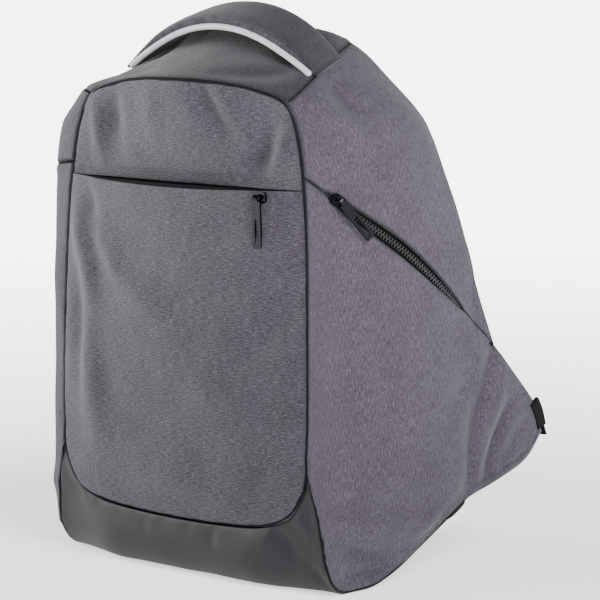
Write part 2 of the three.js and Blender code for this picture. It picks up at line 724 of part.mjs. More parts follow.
// A zip along a line: outward(i) points away from the bag, and the chain stands up that way.
function zipAlong(line, outward, width) {
  return bandThrough(line.map((p, i) => {
    const ahead = line[Math.min(i + 1, line.length - 1)].clone().sub(line[Math.max(i - 1, 0)]).normalize();
    const out = outward(i);
    const wide = out.clone().cross(ahead).normalize();
    const tape = zipSection.map((s) => p.clone().addScaledVector(wide, (s.wide * width) / 2)
      .addScaledVector(out, -s.deep * tapeThick));
    const chain = [-1, 1].map((s) => p.clone().addScaledVector(wide, (s * chainWidth) / 2)
      .addScaledVector(out, chainThick));
    return [...tape, ...chain];
  }));
}

// A closed geometry as a solid that can be cut and joined.
function solidOf(geometry) {
  const bare = geometry.clone();
  bare.deleteAttribute('normal');
  bare.deleteAttribute('uv');
  const merged = mergeVertices(bare, 1e-4);
  return new wasm.Manifold(new wasm.Mesh({
    numProp: 3,
    vertProperties: new Float32Array(merged.attributes.position.array),
    triVerts: new Uint32Array(merged.index.array),
  }));
}

function geometryOf(solid) {
  const mesh = solid.getMesh();
  const geometry = new THREE.BufferGeometry();
  geometry.setAttribute('position', new THREE.BufferAttribute(new Float32Array(mesh.vertProperties), 3));
  geometry.setIndex(new THREE.BufferAttribute(new Uint32Array(mesh.triVerts), 1));
  geometry.computeVertexNormals();
  return geometry;
}

function roundedOutline(length, width, radius) {
  const [x, y] = [length / 2, width / 2];
  const shape = new THREE.Shape();
  shape.moveTo(-x + radius, -y);
  shape.lineTo(x - radius, -y);
  shape.absarc(x - radius, -y + radius, radius, -Math.PI / 2, 0);
  shape.lineTo(x, y - radius);
  shape.absarc(x - radius, y - radius, radius, 0, Math.PI / 2);
  shape.lineTo(-x + radius, y);
  shape.absarc(-x + radius, y - radius, radius, Math.PI / 2, Math.PI);
  shape.lineTo(-x, -y + radius);
  shape.absarc(-x + radius, -y + radius, radius, Math.PI, Math.PI * 1.5);
  return shape;
}

const plate = (shape, thick) => {
  const options = { depth: thick, bevelEnabled: false, curveSegments: 2 };
  return new THREE.ExtrudeGeometry(shape, options).translate(0, 0, -thick / 2);
};

// A slider lies in its own X-Y plane, with its crossbar along Y; turn is the angle of its body to X.
const eyeRadius = barRadius + barClearance + eyeWall;
const barHeight = seamGap + sliderThick + eyeRadius + barClearance;

function sliderGeometry(turn) {
  const base = plate(roundedOutline(sliderLength, sliderWidth, sliderWidth * sliderRound), sliderThick)
    .rotateZ(turn).translate(0, 0, seamGap + sliderThick / 2);
  const barLength = eyeWidth + 2 * barClearance + postThick;
  const bar = solidOf(new THREE.CylinderGeometry(barRadius, barRadius, barLength, 8)
    .translate(0, 0, barHeight));
  const postFoot = seamGap + sliderThick / 2;
  const postHeight = barHeight + barRadius - postFoot;
  const postWidth = 2 * barRadius + postThick;
  const posts = [-1, 1].map((side) => solidOf(new THREE.BoxGeometry(postWidth, postThick, postHeight)
    .translate(0, (side * barLength) / 2, postFoot + postHeight / 2)));
  return geometryOf(posts.reduce((whole, post) => whole.add(post), solidOf(base).add(bar)));
}

// A puller hangs from its eye at the origin and lies along X, with a window cut through its lower half.
function pullerGeometry() {
  const neck = eyeRadius + barClearance;
  const outline = roundedOutline(pullerLength - neck, pullerWidth, pullerCorner);
  const window = roundedOutline(pullerLength * windowLength, pullerWidth * windowWidth, windowCorner);
  const flat = solidOf(plate(outline, pullerThick).translate((pullerLength + neck) / 2, 0, 0))
    .subtract(solidOf(plate(window, 2 * pullerThick).translate(pullerLength * windowSeat, 0, 0)));
  const stem = solidOf(new THREE.BoxGeometry(neck, eyeWidth, pullerThick)
    .translate((neck + stemOverlap) / 2, 0, 0));
  const eye = solidOf(new THREE.CylinderGeometry(eyeRadius, eyeRadius, eyeWidth, 12));
  const boreRadius = barRadius + barClearance;
  const bore = solidOf(new THREE.CylinderGeometry(boreRadius, boreRadius, 2 * eyeWidth, 10));
  return geometryOf(flat.add(stem).add(eye).subtract(bore));
}

// A slider and its puller on the cloth at p: outward is the cloth's normal and hang the way the puller lies.
function addSliderAndPuller(name, p, outward, hang, turn) {
  const normal = outward.clone().normalize();
  const along = hang.clone().addScaledVector(normal, -hang.dot(normal)).normalize();
  const across = normal.clone().cross(along);
  const turned = new THREE.Matrix4().makeBasis(along, across, normal);
  add(`${name}_slider`, sliderGeometry(turn), blackMetal(), (mesh) => {
    mesh.position.copy(p);
    mesh.setRotationFromMatrix(turned);
  });
  add(`${name}_puller`, pullerGeometry(), blackMetal(), (mesh) => {
    mesh.position.copy(p).addScaledVector(normal, barHeight);
    mesh.setRotationFromMatrix(turned);
    mesh.rotateY(THREE.MathUtils.degToRad(pullerLean));
  });
}

const flipped = (v) => point(-v.x, v.y, v.z);
const zipPoints = Array.from({ length: slantCount }, (_, i) => onSide(
  alongRows(slantLine, slantCount * mix(tapeStart, tapeEnd, i / (slantCount - 1))),
));
const zipDepth = cloth + looseGap + chainThick;
const besideNormal = zipPoints.map((p) => sideNormal(p.y, p.z));
const sideZipLine = zipPoints.map((p, i) => p.clone().addScaledVector(besideNormal[i], -zipDepth));
const slideAt = alongRows(slantLine, slantCount * (zipStart + sliderSeat));
const slideNormal = sideNormal(slideAt.y, slideAt.z);
const slideHang = point(0, Math.cos(sideHang), -Math.sin(sideHang));
const sideFaces = [['right', (v) => v.clone()], ['left', flipped]];
sideFaces.forEach(([side, faced]) => {
  const tapeWidth = sideMouth + 2 * tapeMargin;
  const zip = zipAlong(sideZipLine.map(faced), (i) => faced(besideNormal[i]), tapeWidth);
  add(`side_zip_${side}`, zip, blackCloth());
  const turn = side === 'right' ? sideTurn : -sideTurn;
  addSliderAndPuller(`side_zip_${side}`, faced(slideAt), faced(slideNormal), faced(slideHang), turn);
});

// The pocket's zip stands just behind the pocket panel's edge; its slider rests at the right end of the
// mouth.
const pocketMouthLine = mouthLine(pocketMouth + upperBulge, pocketDip);
const pocketZipLine = pocketMouthLine.slice(1, -1).map((p) => point(
  p.x, p.y + cloth + looseGap + chainThick, mouthHalf.z - seamGap - pocketZipWidth / 2 - pocketZipDrop,
));
add('pocket_zip', zipAlong(pocketZipLine, () => point(0, -1, 0), pocketZipWidth), blackCloth());
const pocketSlide = alongRows(pocketMouthLine, (pocketMouthLine.length - 1) * pocketSliderSeat);
const pocketOut = point(pocketSlide.x * pocketYaw, -1, 0).normalize();
addSliderAndPuller('pocket_zip', pocketSlide.clone().addScaledVector(pocketOut, pocketSliderOut)
  .add(point(0, 0, -sliderWidth / 2)), pocketOut, point(0, -pocketPullerLean, -1), Math.PI / 2);

// The main zip runs round the back panel, up one side, over the top and down the other.
const backNormal = (z) => {
  const slope = (backDepth(z + 1) - backDepth(z - 1)) / 2;
  return point(0, 1, -slope).normalize();
};
const mainZipHalf = mainZipTable.map((row) => {
  const z = frontHeight * row.height;
  const y = backDepth(z) + backGap + facetPlay + tapeThick;
  return point((sideX(y, z) - mainZipInset) * row.across, y, z);
});
const mainZipLine = divided([...mirrored(mainZipHalf), ...mainZipHalf.slice(0, -1).reverse()], mainZipCount);
add('main_zip', zipAlong(mainZipLine, (i) => backNormal(mainZipLine[i].z), mainZipWidth), blackCloth());
const mainSlide = mainZipLine[mainZipCount - 1];
const mainOut = backNormal(mainSlide.z);
const mainSlideSeat = mainSlide.clone().addScaledVector(mainOut, chainThick);
addSliderAndPuller('main_zip', mainSlideSeat, mainOut, point(0, 0, -1), 0);

// The carry handle arches over the top panel, its ends sewn along the shoulder seams.
const handleTilt = Math.atan(topSlope);
const seatPoint = alongRows(shoulderLine, slantCount * handleSeat);
const handleSpan = seatPoint.x - handleInset;
const handleSetback = seatPoint.y - handleForward;
const handleEndHeight = seatPoint.z + handleLift;
const handleLine = Array.from({ length: handleCount + 1 }, (_, i) => {
  const u = (2 * i) / handleCount - 1;
  const z = mix(handleRise, handleEndHeight, Math.abs(u) ** handleArch);
  return point(handleSpan * u, handleSetback, z);
});
const handleAcross = handleLine.map((p) => {
  const u = p.x / handleSpan;
  return point(-handleSplay * u * Math.abs(u), Math.cos(handleTilt), Math.sin(handleTilt));
});
const handleThickness = handleLine.map((p) => mix(
  handleEndThick, handleThick, smooth(Math.min((handleSpan - Math.abs(p.x)) / handleTaper, 1)),
));
add('carry_handle', bandAlong(handleLine, bandSection, (i) => handleAcross[i],
  (i) => ({ width: handleWidth, thick: handleThickness[i] }), false), greyCloth());

// The light cord along the handle's lower front edge
const cordReach = handlePipingRadius + seamGap;
const handlePipingLine = handleLine.map((p, i) => {
  const before = handleLine[Math.max(i - 1, 0)];
  const ahead = handleLine[Math.min(i + 1, handleCount)].clone().sub(before).normalize();
  const wide = handleAcross[i].clone().normalize();
  const up = wide.clone().cross(ahead).normalize();
  if (up.z < 0) up.negate();
  return p.clone().addScaledVector(wide, -handleWidth * cordSide - cordReach * cordOut)
    .addScaledVector(up, -handleThickness[i] * cordLow - cordReach * cordDown);
}).slice(1, -1);
const cordRound = new THREE.Shape();
cordRound.absarc(0, 0, handlePipingRadius, 0, 2 * Math.PI);
add('handle_piping', new THREE.ExtrudeGeometry(cordRound, {
  extrudePath: new THREE.CatmullRomCurve3(handlePipingLine),
  steps: handleCount,
  curveSegments: 4,
  bevelEnabled: false,
}), lightCord());

// A shoulder strap, its adjuster, its webbing and the tab on the wing that the webbing is sewn to
const strapHalf = strapTable.map((row, i) => {
  const z = frontHeight * row.height;
  const sewnDepth = backDepth(z - strapThick * row.thick) + backGap;
  return point(halfWidth * row.across, i === 0 ? sewnDepth : bodyDepth * row.depth, z);
});
const strapLine = divided(strapHalf, strapCount);
const strapSize = (i) => {
  const at = (i / strapCount) * (strapTable.length - 1);
  const row = Math.min(Math.floor(at), strapTable.length - 2);
  const share = mix(strapTable[row].thick, strapTable[row + 1].thick, at - row);
  const narrow = smooth(Math.max(at - (strapTable.length - 1 - strapNarrowRows), 0) / strapNarrowRows);
  return { width: mix(strapWidth, lockWidth, narrow), thick: strapThick * share };
};
const strapEnd = strapLine[strapCount];
const strapHeading = strapEnd.clone().sub(strapLine[strapCount - 1]).normalize();
const strapWay = (i) => point(1, strapSplay * smooth(i / strapCount), strapTilt).normalize();
const endWay = strapWay(strapCount);
const lockAcross = endWay.clone().addScaledVector(strapHeading, -endWay.dot(strapHeading)).normalize();
const lockCentre = strapEnd.clone().addScaledVector(strapHeading, looseGap + lockLength / 2);
const lockOutline = roundedOutline(lockLength, lockWidth, lockCorner);
const lockBar = (lockLength - 2 * lockSlot) / 3;
[-1, 1].forEach((side) => {
  const slot = roundedOutline(lockSlot, lockWidth - 2 * lockCorner, lockSlotCorner);
  const shift = (side * (lockSlot + lockBar)) / 2;
  lockOutline.holes.push(new THREE.Path(slot.getPoints(3).map((p) => new THREE.Vector2(p.x + shift, p.y))));
});

const tipIndex = 1;
const tabMiddle = wingLine[tipIndex];
const tabAhead = wingLine[0].clone().sub(wingLine[2]).normalize();
const tabOut = point(0, -tabAhead.z, tabAhead.y).normalize();
const tabSeat = tabMiddle.clone().addScaledVector(tabOut, looseGap + wingTabStandoff / 2);
const tabPoint = (share) => tabSeat.clone().addScaledVector(tabAhead, share * wingTabLength);
const tabLine = [-0.5, 0, 0.5].map(tabPoint);
const webbingStand = lockLength / 2 + 2 * looseGap + webbingThick;
const webbingStart = lockCentre.clone().addScaledVector(strapHeading, webbingStand);
const webbingEnd = point(tabSeat.x - wingTabThick / 2 - looseGap - webbingThick / 2, tabSeat.y, tabSeat.z);
const webbingMiddle = webbingStart.clone().lerp(webbingEnd, 0.5).add(point(0, 0, -webbingSag));
const webbingLine = divided([
  webbingStart,
  webbingStart.clone().addScaledVector(strapHeading, webbingWidth * webbingLeadIn),
  webbingMiddle,
  webbingEnd.clone().add(point(-webbingWidth * webbingLeadIn, 0, 0)),
  webbingEnd,
], webbingCount);
sideFaces.forEach(([side, faced]) => {
  const strap = bandAlong(strapLine.map(faced), bandSection, (i) => faced(strapWay(i)), strapSize);
  add(`shoulder_strap_${side}`, strap, blackCloth());
  const [heading, across] = [faced(strapHeading), faced(lockAcross)];
  const basis = new THREE.Matrix4().makeBasis(heading, across, heading.clone().cross(across));
  add(`ladder_lock_${side}`, plate(lockOutline, lockThick), blackPlastic(), (mesh) => {
    mesh.position.copy(faced(lockCentre));
    mesh.setRotationFromMatrix(basis);
  });
  add(`wing_tab_${side}`, bandAlong(tabLine.map(faced), flatSection, () => faced(tabOut),
    () => ({ width: wingTabStandoff, thick: wingTabThick })), blackCloth());
  add(`strap_webbing_${side}`, bandAlong(webbingLine.map(faced), flatSection,
    (i) => faced(lockAcross.clone().lerp(tabAhead.clone().negate(), smooth(i / webbingCount))),
    () => ({ width: webbingWidth, thick: webbingThick })), blackCloth());
});

// The finished bag stands on the floor with its box's bottom centre at the origin.
const whole = new THREE.Box3().setFromObject(bag, true);
body.position.set(-(whole.min.x + whole.max.x) / 2, -(whole.min.y + whole.max.y) / 2, -whole.min.z);

export default bag;
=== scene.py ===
import math

import bpy
import numpy as np
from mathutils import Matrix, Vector, noise


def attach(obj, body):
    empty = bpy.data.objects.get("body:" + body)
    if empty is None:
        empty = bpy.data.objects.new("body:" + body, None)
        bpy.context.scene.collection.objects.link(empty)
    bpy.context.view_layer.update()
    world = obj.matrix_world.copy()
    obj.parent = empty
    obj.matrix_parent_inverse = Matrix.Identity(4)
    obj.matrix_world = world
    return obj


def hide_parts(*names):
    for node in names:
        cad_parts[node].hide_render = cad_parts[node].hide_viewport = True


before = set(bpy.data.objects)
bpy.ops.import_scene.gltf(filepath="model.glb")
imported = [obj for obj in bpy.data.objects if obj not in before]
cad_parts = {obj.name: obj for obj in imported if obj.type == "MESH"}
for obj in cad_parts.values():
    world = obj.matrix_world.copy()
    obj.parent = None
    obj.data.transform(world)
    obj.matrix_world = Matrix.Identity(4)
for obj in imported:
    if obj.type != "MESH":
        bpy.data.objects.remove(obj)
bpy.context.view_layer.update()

bl_info = {
    "name": "Winged backpack",
    "version": (1, 0, 0),
    "blender": (4, 5, 0),
    "location": "3D Viewport > Sidebar > Backpack",
    "description": "Builds a soft backpack with side wings, slanting side zips and a coated base",
    "category": "Object",
}

# Sizes in millimetres, in the bag's drawing frame: Y = 0 is the front seam and the floor is Z = 0.
SEAM_SHIFT = -118.72
FRONT_HEIGHT = 380.0
CROWN_HEIGHT = 416.0
HALF_WIDTH = 155.0
HALF_FRONT = 136.5
BODY_DEPTH = 163.0
WING_REACH = 246.0
CLOTH = 2.4
FRONT_BULGE = 8.0
UPPER_BULGE = 4.0
POCKET_MOUTH = 15.0
POCKET_DIP = 3.0
SIDE_MOUTH = 10.5
CROWN_LIFT = CROWN_HEIGHT - FRONT_HEIGHT
WING_SPAN = WING_REACH - BODY_DEPTH
MIDDLE = (0, BODY_DEPTH / 2, FRONT_HEIGHT / 2)
TURNS = {"right": np.array([1.0, 1.0, 1.0]), "left": np.array([-1.0, 1.0, 1.0])}
FRONT_PLANE, SIDE_PLANE, TOP_PLANE = [0, 2], [1, 2], [0, 1]
ALL_EDGES = ("low", "high", "left", "right")

HANDLE = {"width": 41.0, "thick": 11.0, "end_thick": 5.0, "rise": 426.0, "span": 98.5, "setback": 60.0,
          "arch": 2.1, "splay": 0.29, "taper": 35.0, "seat": 0.52, "lift": -1.0, "sway": 4.0}
STRAP = {"width": 62.0, "thick": 9.0, "tilt": 0.1, "splay": 0.12, "narrow_rows": 2, "end_width": 34.0}
HANDLE_CORD = {"radius": 2.35, "turned": 2.7, "rib": 1.9, "rib_height": 0.07}
# A cord in a seam: how deep it lies, and the point inside the bag that it lies towards
FRONT_CORD = {"radius": 1.35, "depth": 2.4, "towards": (0.0, 60.0, 200.0), "sides": 10, "closed": True}
SEAM_CORD = {"radius": 1.3, "depth": 2.3, "towards": (0.0, 80.0, 190.0), "sides": 8, "closed": False}
# The padded back's sewn channels: two upright ones, and rows outside them
QUILT = {"across": 34.0, "top": 330.0, "rows": (95.0, 170.0, 245.0)}
CLOTH_WALL, BACK_WALL, TAPE_WALL = 1.6, 6.0, 0.9
TAPE_GAP, TAPE_THICK, TAPE_RAISED = 0.5, 1.4, 1.0
TEETH_PITCH = 1.5
WING_TAB = {"width": 10.0, "thick": 3.6, "rows": slice(6, 30)}
BACK_INSET, MAIN_ZIP_INSET, MAIN_ZIP_STANDOFF, POCKET_ZIP_DROP = 5.5, 22.0, 2.6, 5.8
MAIN_TAPE, POCKET_TAPE, SIDE_TAPE_LAP = 20.0, 10.0, 6.0


def table(names, rows):
    """Named columns of a short table."""
    return {name: np.array([row[k] for row in rows], float) for k, name in enumerate(names.split())}


# Half width of the sides at three depths, as shares of half the body's width
SIDES = table("height front middle rear", [
    (0.000, 0.968, 0.948, 0.968), (0.053, 0.966, 0.952, 0.968), (0.145, 0.938, 0.966, 0.970),
    (0.242, 0.878, 0.975, 0.974), (0.342, 0.881, 0.990, 0.981), (0.500, 0.871, 1.000, 0.984),
    (0.658, 0.852, 0.990, 0.962), (0.789, 0.823, 0.955, 0.885), (0.895, 0.768, 0.880, 0.762),
    (0.958, 0.681, 0.775, 0.620), (1.000, 0.568, 0.668, 0.503), (1.039, 0.420, 0.560, 0.426),
    (1.066, 0.290, 0.452, 0.355)])
# The front seam from the bottom middle to the top middle; rows marked side take the side's own width
FRONT_SEAM = table("across depth height steps side", [
    (0.00, -0.031, 0.112, 2, 0), (0.33, -0.028, 0.114, 2, 0), (0.66, -0.021, 0.123, 2, 0),
    (0.86, -0.012, 0.147, 2, 0), (0.96, -0.003, 0.195, 2, 0), (0, 0.000, 0.242, 2, 1),
    (0, 0.002, 0.342, 2, 1), (0, 0.008, 0.500, 2, 1), (0, 0.018, 0.658, 2, 1), (0, 0.025, 0.789, 2, 1),
    (0, 0.027, 0.816, 4, 1), (0, 0.032, 0.895, 4, 1), (0, 0.037, 0.958, 2, 1),
    (0.55, 0.012, 0.985, 2, 0), (0.28, -0.030, 0.997, 2, 0), (0.00, -0.061, 1.000, 0, 0)])
CORNER_ROW, TIP_ROW, MOUTH_ROW, ZIP_ROW, SHOULDER_ROW, LAST_ROW = 3, 5, 9, 10, 12, 15
SHOULDER = table("depth height lift", [
    (0.037, 0.958, 0.00), (0.245, 0.958, 0.44), (0.478, 0.958, 0.86), (0.705, 0.958, 1.14)])
REAR = table("depth height lift", [
    (0.705, 0.958, 1.14), (0.755, 0.958, 0.75), (0.816, 0.958, 0.10), (0.860, 0.916, 0.00),
    (0.884, 0.816, 0.00), (0.935, 0.730, 0.00), (0.990, 0.640, 0.00), (1.045, 0.560, 0.00),
    (1.150, 0.453, 0.00)])
WING = table("depth reach height", [
    (1.150, 0.00, 0.453), (1.000, 0.58, 0.392), (1.000, 0.88, 0.322), (1.000, 1.00, 0.260)])
UNDER = table("depth reach height", [
    (0.000, 0.00, 0.242), (0.018, 0.00, 0.137), (0.043, 0.00, 0.053), (0.120, 0.00, 0.006),
    (0.245, 0.00, 0.000), (0.380, 0.00, 0.004), (0.534, 0.00, 0.029), (0.663, 0.00, 0.061),
    (0.822, 0.00, 0.103), (0.975, 0.00, 0.145), (1.000, 0.39, 0.174), (1.000, 0.78, 0.208),
    (1.000, 1.00, 0.260)])
BASE = table("depth height", [
    (-0.031, 0.112), (-0.037, 0.058), (0.000, 0.016), (0.075, 0.000), (0.230, 0.000),
    (0.380, 0.000), (0.534, 0.000), (0.700, 0.000), (0.850, 0.000), (0.975, 0.047)])
BASE_ROWS = 9
FLAT_SHARE = 0.45
# Where the left side starts behind the front seam, and how far its filling swells out over CORNER_REACH
CORNER_REACH = 20.0
CORNER = table("height depth out", [
    (0.000, 0.120, 0.0), (0.053, 0.043, 8.0), (0.137, 0.018, 14.0), (0.242, 0.000, 16.5), (0.500, 0.008, 16.5),
    (0.650, 0.018, 19.0), (0.789, 0.025, 23.0), (0.895, 0.032, 22.0), (0.958, 0.037, 15.0),
    (1.000, 0.037, 8.0), (1.040, 0.037, 0.0)])
BACK = table("height depth", [
    (0.050, 0.995), (0.145, 1.040), (0.264, 1.085), (0.400, 1.100), (0.500, 1.070), (0.600, 1.010),
    (0.710, 0.935), (0.816, 0.865), (0.916, 0.795), (0.968, 0.745), (1.070, 0.712)])
SLANT = table("depth height", [
    (0.027, 0.816), (0.250, 0.742), (0.520, 0.665), (0.800, 0.574), (1.150, 0.453)])
ZIP_START, ZIP_END, TAPE_START, TAPE_END = 0.10, 0.84, 0.075, 0.86
MAIN_ZIP = table("across height", [
    (1.00, 0.26), (1.00, 0.45), (1.00, 0.62), (1.00, 0.78), (0.97, 0.90), (0.80, 0.99), (0.40, 1.03),
    (0.00, 1.035)])
STRAP_LINE = table("across depth height thick", [
    (0.23, 0.780, 0.935, 0.5), (0.23, 0.930, 0.930, 1.0), (0.28, 1.070, 0.870, 1.0),
    (0.36, 1.190, 0.760, 1.0), (0.44, 1.290, 0.630, 1.0), (0.51, 1.340, 0.500, 0.8),
    (0.55, 1.340, 0.410, 0.5)])

# Folds and swells: from one place to another on the panel, height off the cloth (negative: a valley), half
# width, and lean (how much steeper one flank is). Front places are (X, Z), side ones (Y, Z), others (X, Y).
FOLD_COLUMNS = "a0 b0 a1 b1 rise wide lean"
POCKET_FOLDS = table(FOLD_COLUMNS, [
    (-118, 268, -98, 238, 3.2, 9, 0.5), (-98, 238, -90, 205, 2.8, 10, 0.4), (-90, 262, -52, 226, 2.2, 9, -0.4),
    (-52, 226, 10, 190, 2.0, 13, -0.3), (-102, 290, -88, 262, -2.0, 8, 0.3),
    (-112, 215, -106, 150, -2.4, 11, 0.0),
    (-96, 178, -84, 112, 3.0, 14, 0.3), (20, 150, 96, 120, 1.6, 22, 0.0), (-60, 120, 30, 100, -1.2, 20, 0.0),
    (60, 250, 112, 262, 1.6, 14, 0.2), (78, 170, 118, 210, -1.4, 14, 0.0), (-20, 75, 60, 66, 1.3, 14, 0.0),
    (104, 96, 84, 66, -1.0, 8, 0.0)])
UPPER_FOLDS = table(FOLD_COLUMNS, [
    (27, 384, 46, 350, -2.4, 6, 0.8), (46, 352, 62, 336, -1.4, 7, 0.5), (-76, 366, -70, 330, -2.6, 10, 0.4),
    (-98, 352, -92, 318, 2.0, 9, 0.0), (97, 338, 80, 312, -3.2, 8, -0.5), (112, 352, 100, 318, 2.2, 9, 0.0),
    (-30, 372, -22, 340, 1.2, 12, 0.0)])
SIDE_FOLDS = table(FOLD_COLUMNS, [
    (187, 171, 161, 60, -3.2, 5.0, 0.9), (207, 126, 180, 62, -3.0, 4.8, 0.9), (176, 160, 152, 70, 0.8, 8, 0.0),
    (196, 150, 172, 70, 1.2, 7, 0.0), (230, 116, 196, 74, -1.0, 5, 0.3), (174, 160, 130, 118, -1.4, 12, 0.3),
    (18, 40, 66, 22, -2.6, 6, 0.5), (22, 54, 92, 40, 2.0, 10, 0.0), (20, 66, 120, 62, -1.5, 12, 0.0),
    (30, 16, 86, 12, -2.0, 5, 0.0), (96, 44, 132, 36, 1.6, 11, 0.0), (110, 30, 142, 52, -1.8, 6, 0.4),
    (100, 74, 150, 70, 1.6, 14, 0.0), (60, 200, 120, 150, 1.5, 26, 0.0), (24, 180, 40, 90, -1.0, 16, 0.0),
    (150, 190, 176, 150, 1.4, 12, 0.0)])
SIDE_UPPER_FOLDS = table(FOLD_COLUMNS, [
    (52, 378, 66, 352, -2.4, 8, 0.6), (22, 352, 42, 334, -1.4, 8, 0.3), (90, 380, 120, 330, 1.6, 18, 0.0),
    (60, 330, 120, 270, 1.4, 24, 0.0), (16, 334, 30, 312, 1.2, 10, 0.0)])
TOP_FOLDS = table(FOLD_COLUMNS, [
    (40, 8, 84, 30, -1.4, 8, 0.3), (-84, 30, -40, 8, -1.4, 8, 0.3), (-30, 64, 40, 58, 2.0, 12, 0.0),
    (60, 72, 78, 40, -1.5, 8, 0.3), (-78, 40, -60, 72, -1.5, 8, 0.3), (-50, 96, 50, 98, 1.4, 12, 0.0),
    (-92, 100, -24, 74, 7.5, 28, 0.0), (24, 74, 92, 100, 4.0, 26, 0.0)])
BASE_FOLDS = table(FOLD_COLUMNS, [
    (37, 42, 41, 30, -0.8, 4, 0.6), (-40, 42, -36, 32, -0.5, 4, 0.3), (106, 50, 122, 30, -1.3, 5, 0.8),
    (118, 66, 136, 44, 0.9, 6, 0.0), (-128, 70, -118, 48, -1.4, 5, 0.5), (-112, 56, -80, 44, 0.9, 6, 0.0),
    (70, 40, 104, 36, 0.8, 6, 0.0), (134, 20, 148, 6, -1.2, 5, 0.0)])

# How many fine rows stand for each coarse step of the seams
FINE = 8


def linear(code):
    """A colour written as six hexadecimal digits, in linear light."""
    parts = [int(code[k:k + 2], 16) / 255 for k in (0, 2, 4)]
    return tuple(c / 12.92 if c <= 0.04045 else ((c + 0.055) / 1.055) ** 2.4 for c in parts)


def eased(share):
    """Lets a change from 0 to 1 start and end gently."""
    return share * share * (3 - 2 * share)


# Lines and surfaces


def column_at(rows, key, column, value):
    """One column of a table at a value of another, on a smooth line through its rows."""
    x, y = rows[key], rows[column]
    value = np.asarray(value, float)
    last = len(x) - 1
    i = np.clip(np.searchsorted(x, value, side="right") - 1, 0, last - 1)

    def slope(k):
        a, b = np.maximum(k - 1, 0), np.minimum(k + 1, last)
        return (y[b] - y[a]) / (x[b] - x[a])

    span = x[i + 1] - x[i]
    t = np.clip((value - x[i]) / span, 0, 1)
    level = y[i] * (1 - eased(t)) + y[i + 1] * eased(t)
    return level + span * (t * (1 - t) ** 2 * slope(i) - t * t * (1 - t) * slope(i + 1))


def filled(points):
    """Lets the left side swell past the front seam before it turns back, as in the filled bag."""
    points = np.array(points, float)
    x, y, z = points[..., 0], points[..., 1], points[..., 2]
    height = z / FRONT_HEIGHT
    start = BODY_DEPTH * np.interp(height, CORNER["height"], CORNER["depth"])
    share = np.clip((y - start) / CORNER_REACH, 0, 1)
    # 6.75 brings the top of this hump, a third of the way along, to 1.
    hump = 6.75 * share * (1 - share) ** 2
    near = np.clip((-x / side_x(y, z) - 0.75) / 0.25, 0, 1)
    points[..., 0] -= np.interp(height, CORNER["height"], CORNER["out"]) * hump * eased(near)
    return points


def finer(grid):
    """The same surface with twice the rows and columns."""
    for axis in (0, 1):
        rows = np.moveaxis(grid, axis, 0)
        grid = np.moveaxis(along_rows(rows, np.linspace(0, len(rows) - 1, 2 * len(rows) - 1)), 0, axis)
    return grid


def side_x(y, z):
    """Half width of a side's outer face."""
    height = np.asarray(z, float) / FRONT_HEIGHT
    t = np.clip(np.asarray(y, float) / BODY_DEPTH, 0, 1)
    front, middle, rear = (column_at(SIDES, "height", k, height) for k in ("front", "middle", "rear"))
    return HALF_WIDTH * (front * (1 - t) * (1 - 2 * t) + middle * 4 * t * (1 - t) + rear * t * (2 * t - 1))


def side_normal(y, z):
    dy = (side_x(y + 1, z) - side_x(y - 1, z)) / 2
    dz = (side_x(y, z + 1) - side_x(y, z - 1)) / 2
    n = np.stack([np.ones_like(dy), -dy, -dz], -1)
    return n / np.linalg.norm(n, axis=-1, keepdims=True)


def on_side(points):
    """Moves points across the bag onto the right side's outer face."""
    points = np.asarray(points, float)
    return np.stack([side_x(points[..., 1], points[..., 2]), points[..., 1], points[..., 2]], -1)


def along_rows(points, at):
    """A smooth line through rows of points, at parameters that count rows."""
    points = np.asarray(points, float)
    at = np.atleast_1d(np.asarray(at, float))
    last = len(points) - 1
    longer = np.concatenate([[2 * points[0] - points[1]], points, [2 * points[last] - points[last - 1]]])
    i = np.clip(np.floor(at).astype(int), 0, last - 1)
    t = (at - i).reshape(-1, *([1] * (points.ndim - 1)))
    a, b, c, d = (longer[i + k] for k in range(4))
    return b + 0.5 * t * (c - a + t * (2 * a - 5 * b + 4 * c - d + t * (3 * (b - c) + d - a)))


def divided(points, count):
    return along_rows(points, np.linspace(0, len(points) - 1, count + 1))


def side_rows(rows):
    nothing = np.zeros_like(rows["depth"])
    y = BODY_DEPTH * rows["depth"] + WING_SPAN * rows.get("reach", nothing)
    z = FRONT_HEIGHT * rows["height"] + CROWN_LIFT * rows.get("lift", nothing)
    return on_side(np.stack([nothing, y, z], -1))


def mirrored(points):
    return np.asarray(points) * np.array([-1.0, 1.0, 1.0])


def across_middle(half):
    return np.concatenate([mirrored(half[1:])[::-1], half])


def patch(front, rear, left, right):
    """A surface that runs smoothly between four edge lines."""
    u = np.linspace(0, 1, len(front))[None, :, None]
    v = np.linspace(0, 1, len(left))[:, None, None]
    edges = front[None] * (1 - v) + rear[None] * v + left[:, None] * (1 - u) + right[:, None] * u
    corners = (front[0] * (1 - u) + front[-1] * u) * (1 - v) + (rear[0] * (1 - u) + rear[-1] * u) * v
    return edges - corners


def belly(grid, amount):
    """Lets a front panel stand out in its middle."""
    v = np.linspace(-1, 1, grid.shape[0])[:, None]
    u = np.linspace(-1, 1, grid.shape[1])[None]
    out = grid.copy()
    out[..., 1] -= amount * (1 - u * u) * (1 - v * v)
    return out


